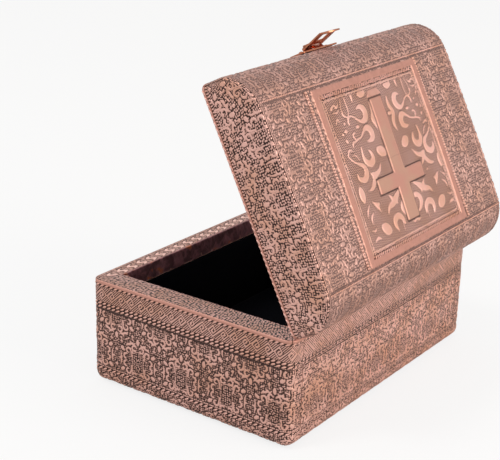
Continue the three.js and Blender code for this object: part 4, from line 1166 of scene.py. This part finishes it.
def add_lid_end(side, way):
    """An end sheet of the lid, rounded over into the cover and round the upright corners."""
    size = sizes()
    outline = lid_outline()
    edge, radius = HALF_X - LID_SEAM, size.lid_corner
    seam_y = HALF_Y - radius + math.sqrt(radius**2 - (radius - edge)**2)
    upper = outline[1:-1].copy()
    upper[:, 0] = np.clip(upper[:, 0], -seam_y, seam_y)
    total = along_outline(upper, np.zeros(1))[1]
    columns = whole_steps(total, size.cell)
    rows = whole_steps(TOP_Z - LID_SHEET_Z + TURNED_OVER, size.cell)
    top = along_outline(upper, np.linspace(0, total, columns))[0]
    foot = np.stack([np.linspace(-seam_y, seam_y, columns), np.full(columns, LID_SHEET_Z)], -1)
    share = 1 - (1 - np.linspace(0, 1, rows)) ** CROWDED
    flat = foot + (top - foot) * share[:, None, None]
    y, z = flat[..., 0], flat[..., 1]
    inset = outline_distance(y, z, outline[1:-1])
    inward = corner_cut(np.maximum(edge - inset, 0), edge, edge)
    x = HALF_X - np.maximum(inward, np.minimum(corner_cut(y, HALF_Y, radius), edge))
    up = z - LID_RIM_Z
    from_hinge, from_rim, pitch = LID_END_ROSETTES
    height = rosette_height(HINGE[1] - y - from_hinge, up - from_rim, pitch)**LID_END_RAISED
    dashes = 0.15 + 0.8 * eased(0.5 + 1.2 * np.cos(2 * math.pi * y / DASH_PITCH))
    height = mixed(height, dashes, band(up, -1.0, DASHES_TOP, 0.2))
    crease = line(inset, CREASE_IN, 0.15) * eased((up - size.lid_wall - CREASE_START) / CREASE_FADE)
    height = mixed(height, 0.85, crease)
    points = np.stack([way * x, y, z], -1)[:, ::way]
    keep_foil(f"lid_{side}_end_sheet", "lid", f"lid_{side}_sheet", points, foil_layers(height[:, ::way]),
              place=opened)


class KEEPSAKE_OT_lid_ends(bpy.types.Operator):
    """Adds the embossed sheets on the lid's two ends"""
    bl_idname = "keepsake.lid_ends"
    bl_label = "Lid ends"

    def execute(self, context):
        add_lid_end("right", 1)
        add_lid_end("left", -1)
        return {"FINISHED"}


# ---------------------------------------------------------------- rope borders and combs along lines

def bead_tree(name):
    """Sets a slanted bead at each step along a wire, turned to the wire and to its attribute outward."""
    tree = bpy.data.node_groups.new(name, "GeometryNodeTree")
    for way in ("INPUT", "OUTPUT"):
        tree.interface.new_socket("Geometry", in_out=way, socket_type="NodeSocketGeometry")
    for label in ("Pitch", "Bead length", "Bead width", "Bead height", "Slant"):
        tree.interface.new_socket(label, in_out="INPUT", socket_type="NodeSocketFloat")
    tree.interface.new_socket("Material", in_out="INPUT", socket_type="NodeSocketMaterial")
    node = functools.partial(new_node, tree)
    given = node("NodeGroupInput")
    wire = node("GeometryNodeMeshToCurve", Mesh=given["Geometry"])
    spaced = node("GeometryNodeResampleCurve", {"mode": "LENGTH"}, Curve=wire[0], Length=given["Pitch"])
    ball = node("GeometryNodeMeshUVSphere", Segments=8, Rings=5, Radius=0.5)
    scale = node("ShaderNodeCombineXYZ", X=given["Bead length"], Y=given["Bead width"],
                 Z=given["Bead height"])
    turn = node("ShaderNodeCombineXYZ", Z=given["Slant"])
    sized = node("GeometryNodeTransform", Geometry=ball["Mesh"], Scale=scale[0])
    bead = node("GeometryNodeTransform", Geometry=sized[0], Rotation=turn[0])
    outward = node("GeometryNodeInputNamedAttribute", {"data_type": "FLOAT_VECTOR"}, Name="outward")
    tangent = node("GeometryNodeInputTangent")
    facing_way = node("FunctionNodeAxesToRotation", {"primary_axis": "Z", "secondary_axis": "X"},
                      _0=outward[0], _1=tangent[0])
    set_out = node("GeometryNodeInstanceOnPoints", Points=spaced[0], Instance=bead[0], Rotation=facing_way[0])
    real = node("GeometryNodeRealizeInstances", Geometry=set_out[0])
    smooth = node("GeometryNodeSetShadeSmooth", Geometry=real[0])
    coated = node("GeometryNodeSetMaterial", Geometry=smooth[0], Material=given["Material"])
    node("NodeGroupOutput", _0=coated[0])
    return tree


def beads_along(name, body, wires, place, pitch, bead, slant):
    """Beads along wires. Each wire is its points and the way out of the surface at each, in mm, and a bead is
    its length, width and height, turned by the slant in degrees."""
    vertices, edges, outward = [], [], []
    origin = place(np.zeros((1, 3)))
    for points, way_out in wires:
        start = len(vertices)
        vertices.extend(place(np.array(points, float)) * MM)
        outward.extend(place(np.array(way_out, float)) - origin)
        edges.extend((start + k, start + k + 1) for k in range(len(points) - 1))
    mesh = bpy.data.meshes.new(name)
    mesh.from_pydata([tuple(v) for v in vertices], edges, [])
    mesh.attributes.new("outward", "FLOAT_VECTOR", "POINT").data.foreach_set(
        "vector", np.array(outward, np.float32).ravel())
    guide = bpy.data.objects.new(name, mesh)
    bpy.context.scene.collection.objects.link(guide)
    modifier = guide.modifiers.new("Beads", "NODES")
    modifier.node_group = bpy.data.node_groups.get(BEADS) or bead_tree(BEADS)
    material = finish(bead_material)
    values = {"Pitch": pitch * MM, "Slant": math.radians(slant), "Material": material}
    values.update((f"Bead {what}", size * MM) for what, size in zip(("length", "width", "height"), bead))
    for item in modifier.node_group.interface.items_tree:
        if item.in_out == "INPUT" and item.name in values:
            modifier[item.identifier] = values[item.name]
    evaluated = guide.evaluated_get(bpy.context.evaluated_depsgraph_get())
    plain = bpy.data.meshes.new_from_object(evaluated)
    bpy.data.objects.remove(guide)
    bpy.data.meshes.remove(mesh)
    keep_piece(name, plain, body, [], material)


BEADS = "Beads along a line"
# Beads: length, width and height
ROPE_BEAD, EDGE_BEAD = (3.0, 1.15, 0.95), (3.0, 0.9, 0.95)
PANEL_BEAD, RIDGE_BEAD, COMB_BEAD = (1.7, 0.9, 0.6), (1.2, 0.8, 0.6), (2.3, 0.7, 0.7)
PANEL_PITCH, RIDGE_PITCH, COMB_PITCH = 1.5, 1.3, 1.75
ROPE_SLANT, RIDGE_SLANT, COMB_SLANT = 24, 30, 62
ROPE_SUNK, BACK_SUNK = 0.3, 0.4  # how deep a rope lies in the wall, and how much more on the back
LATCH_GAP, LATCH_FOOT = 17.0, 47.0  # half the gap for the latch, and the height above which ropes have it
EDGE_ROPE_HALF, EDGE_ROPE_Z = 59.5, 60.9  # the ropes along the feet of the lid's ends
# The ropes beside the panel: places along X, and the place along Y and the sink of each of their points
BESIDE_PANEL, BESIDE_PLACES = (50.9, 51.9), ((HINGE[1] - 106.8, 0.7), (0.0, 0.2), (HINGE[1] - 18.4, 0.7))
RIDGE_HALF, RIDGE_SINK, RIDGE_TILT = 86.0, 1.15, 0.25
COMB_HALF_LENGTH, COMB_SINK, COMB_SAG = 43.0, 0.5, 0.05


def bead_material():
    metal = Finish("Rope copper")
    patches, grain = metal.noise(60, 3), metal.noise(1500, 2)
    colour = metal.mixed(patches.over(0.3, 0.75), rgba(colours().raised), rgba(colours().warm))
    return metal.surface(Base_Color=colour, Metallic=0.5, Roughness=0.36 + (grain - 0.5) * 0.2,
                         Normal=metal.bump(grain, 0.3, 0.05))


def base_loop(z):
    """A wire round the base at a height, open at the middle of the front, for the latch where it is high."""
    radius = sizes().wall_corner
    points, outs = [], []
    for corner_x, corner_y, start in ((1, -1, -90), (1, 1, 0), (-1, 1, 90), (-1, -1, 180)):
        for angle in np.radians(np.linspace(start, start + 90, 7)):
            out = (math.cos(angle), math.sin(angle), 0)
            reach = radius - ROPE_SUNK - BACK_SUNK * max(out[1], 0)
            points.append((corner_x * (HALF_X - radius) + reach * out[0],
                           corner_y * (HALF_Y - radius) + reach * out[1], z))
            outs.append(out)
    gap, y = LATCH_GAP if z > LATCH_FOOT else 0.01, -HALF_Y + ROPE_SUNK
    return [(gap, y, z), *points, (-gap, y, z)], [(0, -1, 0), *outs, (0, -1, 0)]


def across_lid(half, place, sink, sag=0.0, out=(0, 0, 1)):
    """A wire along X on the lid's top, at a place from the hinge axis. It lies lower at its ends by sag."""
    y, z = HINGE[1] - place, TOP_Z - sink
    return [(-half, y, z - sag), (0, y, z), (half, y, z - sag)], [out] * 3


class KEEPSAKE_OT_ropes(bpy.types.Operator):
    """Adds the rope borders of the base and the lid and the combs of the lid's panel"""
    bl_idname = "keepsake.ropes"
    bl_label = "Ropes and combs"

    def execute(self, context):
        pitch = sizes().bead_pitch
        beads_along("base_ropes", "base", map(base_loop, ROPES_Z), unchanged, pitch, ROPE_BEAD, ROPE_SLANT)
        beside, ends = [], []
        for way in (1, -1):
            foot = [(way * HALF_X, y, EDGE_ROPE_Z) for y in (-EDGE_ROPE_HALF, EDGE_ROPE_HALF)]
            ends.append((foot[::way], [(way, 0, 0)] * 2))
            for x in BESIDE_PANEL:
                beside.append(([(way * x, y, TOP_Z - sink) for y, sink in BESIDE_PLACES], [(0, 0, 1)] * 3))
        beads_along("lid_ropes", "lid", beside, opened, PANEL_PITCH, PANEL_BEAD, ROPE_SLANT)
        beads_along("lid_edge_ropes", "lid", ends, opened, pitch, EDGE_BEAD, ROPE_SLANT)
        ridges = [across_lid(RIDGE_HALF, RIDGE_BACK - RIDGE_OUT, RIDGE_SINK, out=(0, RIDGE_TILT, 1)),
                  across_lid(RIDGE_HALF, RIDGE_FRONT + RIDGE_OUT, RIDGE_SINK, out=(0, -RIDGE_TILT, 1))]
        beads_along("lid_ridges", "lid", ridges, opened, RIDGE_PITCH, RIDGE_BEAD, RIDGE_SLANT)
        combs = [across_lid(COMB_HALF_LENGTH, place, COMB_SINK, COMB_SAG)
                 for place in (FIELD_LOW - COMB_OUT, FIELD_HIGH + COMB_OUT)]
        beads_along("panel_combs", "lid", combs, opened, COMB_PITCH, COMB_BEAD, COMB_SLANT)
        return {"FINISHED"}


# ---------------------------------------------------------------- inside, boards and hardware

LINING_BEVEL, FELT_BEVEL, LATCH_BEVEL, HINGE_BEVEL = 0.22, 0.2, 0.14, 0.08
LATCH_ROUGHNESS, HINGE_ROUGHNESS = 0.24, 0.34


class KEEPSAKE_OT_linings(bpy.types.Operator):
    """Adds the velvet linings, the floor pad and the felt under the base"""
    bl_idname = "keepsake.linings"
    bl_label = "Linings and felt"

    def execute(self, context):
        velvet = finish(velvet_material, "Black velvet", colours().velvet)
        for body, sides in (("base", ("front", "back", "left", "right")),
                            ("lid", ("front", "back", "left", "right", "top"))):
            for side in sides:
                softened(f"{body}_lining_{side}", f"{body}_{side}_velvet", velvet,
                         LINING_BEVEL)
        add_pad(velvet)
        felt = finish(velvet_material, "Black felt", colours().felt)
        softened("base_felt", "base_felt_sheet", felt, FELT_BEVEL)
        return {"FINISHED"}


PAD_CELL, PAD_SHEET = 2.0, 0.8
PAD_ROUND = 6.0  # how far in from the pad's edges its top is drawn down
PAD_DENTS, PAD_FOOT, PAD_CLEAR = 0.06, 0.9, 1.0
DENTS_X, DENTS_Y = 9.0, 7.0


def add_pad(material):
    """The padded floor: highest in the middle and drawn in along its edges."""
    low, high = limits("base_pad")
    columns, rows = (whole_steps(high[k] - low[k], PAD_CELL) for k in (0, 1))
    x, y = np.meshgrid(np.linspace(-1, 1, columns) * high[0], np.linspace(-1, 1, rows) * high[1])
    from_edge = np.minimum(high[0] - np.abs(x), high[1] - np.abs(y))
    soft = np.sqrt(np.clip(1 - (1 - np.clip(from_edge / PAD_ROUND, 0, 1))**2, 0, 1))
    dents = PAD_DENTS * np.cos(x / DENTS_X + 1.0) * np.cos(y / DENTS_Y)
    z = low[2] + PAD_FOOT + (high[2] - low[2] - PAD_CLEAR + dents) * soft
    mesh = sheet_mesh("floor_pad", np.stack([x, y, z], -1), 0 * z, unchanged, {"nap": soft}, PAD_SHEET)
    pad = keep_piece("floor_pad", mesh, "base", ["base_pad"], material)


class KEEPSAKE_OT_boards(bpy.types.Operator):
    """Gives the wooden boards their finish"""
    bl_idname = "keepsake.boards"
    bl_label = "Boards"

    def execute(self, context):
        wood = finish(wood_material)
        for name, node in frame["nodes"].items():
            if name.endswith(("_board", "_rail", "_panel")):
                dress(node, wood)
        return {"FINISHED"}


def dress(node, material):
    """Gives a node of the frame its finish."""
    if not node.material_slots:
        raise RuntimeError(f"{node.name} has no material slot")
    for socket in node.material_slots:
        socket.material = material


class KEEPSAKE_OT_hardware(bpy.types.Operator):
    """Adds the hinges, the latch and their screws and nails"""
    bl_idname = "keepsake.hardware"
    bl_label = "Hinges and latch"

    def execute(self, context):
        latch = finish(metal_material, "Latch copper", colours().latch, LATCH_ROUGHNESS)
        hinge = finish(metal_material, "Hinge brass", colours().hinge, HINGE_ROUGHNESS)
        for name, node in frame["nodes"].items():
            if name.startswith("latch"):
                if name.endswith(("_left", "_right")):
                    dress(node, latch)
                else:
                    softened(name, f"{name}_soft", latch, LATCH_BEVEL)
            elif name.startswith("hinge"):
                if name.endswith("leaf"):
                    softened(name, f"{name}_soft", hinge, HINGE_BEVEL)
                else:
                    dress(node, hinge)
        return {"FINISHED"}


# ---------------------------------------------------------------- the stage

# Lamps: name, place in metres, side in metres, power in watts and colour.
LAMPS = (("key", (-0.2, 1.3, 0.55), 0.8, 9.9, (1.0, 0.93, 0.84)),
         ("side", (1.0, -0.45, 1.25), 0.4, 7.5, (1.0, 1.0, 1.0)))
LIT_PLACE = Vector((0, 0, 0.06))  # what the lamps point at
SENSOR, PICTURE_WIDTH = 36.0, 500.0  # in mm and in pixels
CLIPPED = (0.01, 50.0)  # metres from the camera


class KEEPSAKE_OT_stage(bpy.types.Operator):
    """Adds the floor, the lights and the camera"""
    bl_idname = "keepsake.stage"
    bl_label = "Stage"

    def execute(self, context):
        scene = context.scene
        add_floor()
        add_world(scene)
        for lamp in LAMPS:
            add_lamp(*lamp)
        add_camera(scene)
        scene.view_settings.view_transform = "Standard"
        return {"FINISHED"}


FLOOR_HALF = 6.0  # metres
FLOOR_GLOW, FLOOR_SHARE = 1.08, 0.75  # strength of the glow that the camera sees, and its share
FLOOR_COLOUR = (0.62, 0.61, 0.6, 1)
ROOM_LIGHT = 0.68


def add_floor():
    mesh = bpy.data.meshes.new("floor")
    mesh.from_pydata([(x * FLOOR_HALF, y * FLOOR_HALF, 0) for x, y in ((-1, -1), (1, -1), (1, 1), (-1, 1))],
                     [], [(0, 1, 2, 3)])
    floor = bpy.data.objects.new("floor", mesh)
    bpy.context.scene.collection.objects.link(floor)
    white = Finish("White floor")
    seen = white.node("ShaderNodeLightPath", output="Is Camera Ray")
    glow = white.node("ShaderNodeEmission", Color=WHITE, Strength=FLOOR_GLOW)
    mesh.materials.append(white.surface(Base_Color=FLOOR_COLOUR, Roughness=0.9, Specular_IOR_Level=0.1))
    both = white.node("ShaderNodeMixShader", _0=seen * FLOOR_SHARE, _1=white.shader.outputs[0], _2=glow)
    fill(white.tree, white.tree.nodes["Material Output"].inputs["Surface"], both)


def add_world(scene):
    """Soft light from all round, behind plain white."""
    world = bpy.data.worlds.new("Soft white room")
    world.use_nodes = True
    tree = world.node_tree
    plain = tree.nodes["Background"]
    fill(tree, plain.inputs["Color"], WHITE)
    fill(tree, plain.inputs["Strength"], ROOM_LIGHT)
    shown = new_node(tree, "ShaderNodeBackground", Color=WHITE, Strength=1.0)
    ray = new_node(tree, "ShaderNodeLightPath")
    camera, through = (Value(tree, ray[f"Is {kind} Ray"]) for kind in ("Camera", "Transmission"))
    mix = new_node(tree, "ShaderNodeMixShader", _0=camera.maths("MAXIMUM", camera, through),
                   _1=plain.outputs[0], _2=shown[0])
    fill(tree, tree.nodes["World Output"].inputs["Surface"], mix[0])
    scene.world = world


def add_lamp(name, place, side, power, colour):
    light = bpy.data.lights.new(name, "AREA")
    light.color = colour
    light.shape, light.size, light.energy = "SQUARE", side, power
    lamp = bpy.data.objects.new(name, light)
    lamp.location = place
    lamp.rotation_euler = (LIT_PLACE - Vector(place)).to_track_quat("-Z", "Y").to_euler()
    bpy.context.scene.collection.objects.link(lamp)


def add_camera(scene):
    view = scene.keepsake_view
    a, e, r = view.azimuth, view.elevation, view.roll
    back = Vector((math.sin(a) * math.cos(e), -math.cos(a) * math.cos(e), math.sin(e)))
    right = (-back).cross(Vector((0, 0, 1))).normalized()
    up = right.cross(-back)
    right, up = right * math.cos(r) + up * math.sin(r), up * math.cos(r) - right * math.sin(r)
    lens = bpy.data.cameras.new("photo_view")
    lens.sensor_width, lens.sensor_fit = SENSOR, "HORIZONTAL"
    lens.lens = view.focal * SENSOR / PICTURE_WIDTH
    lens.clip_start, lens.clip_end = CLIPPED
    camera = bpy.data.objects.new("photo_view", lens)
    camera.matrix_world = Matrix.Translation((Vector(view.target) + back * view.distance) * MM) @ Matrix(
        (right, up, back)).transposed().to_4x4()
    scene.collection.objects.link(camera)
    scene.camera = camera


# ---------------------------------------------------------------- the sidebar and the run

STEPS = (
    KEEPSAKE_OT_base_sheets, KEEPSAKE_OT_rims, KEEPSAKE_OT_lid_cover, KEEPSAKE_OT_lid_ends,
    KEEPSAKE_OT_ropes, KEEPSAKE_OT_linings, KEEPSAKE_OT_boards, KEEPSAKE_OT_hardware, KEEPSAKE_OT_stage,
)


class KEEPSAKE_PT_sidebar(bpy.types.Panel):
    """Sizes, colours and pieces of the keepsake box"""
    bl_label = "Keepsake box"
    bl_space_type = "VIEW_3D"
    bl_region_type = "UI"
    bl_category = "Keepsake box"

    def draw(self, context):
        for setting, kind in SETTINGS.items():
            for name in kind.__annotations__:
                self.layout.prop(getattr(context.scene, setting), name)
        for step in STEPS:
            self.layout.operator(step.bl_idname)


SETTINGS = {"keepsake_sizes": KeepsakeSizes, "keepsake_colours": KeepsakeColours,
            "keepsake_view": KeepsakeView}
CLASSES = (*SETTINGS.values(), *STEPS, KEEPSAKE_PT_sidebar)


def register():
    for entry in CLASSES:
        bpy.utils.register_class(entry)
    for setting, kind in SETTINGS.items():
        setattr(bpy.types.Scene, setting, bpy.props.PointerProperty(type=kind))


def unregister():
    for setting in SETTINGS:
        delattr(bpy.types.Scene, setting)
    for entry in reversed(CLASSES):
        bpy.utils.unregister_class(entry)


def main():
    register()
    for step in STEPS:
        name = step.bl_idname.split(".")[1]
        getattr(bpy.ops.keepsake, name)()
    bpy.context.view_layer.update()


if __name__ == "__main__":
    main()
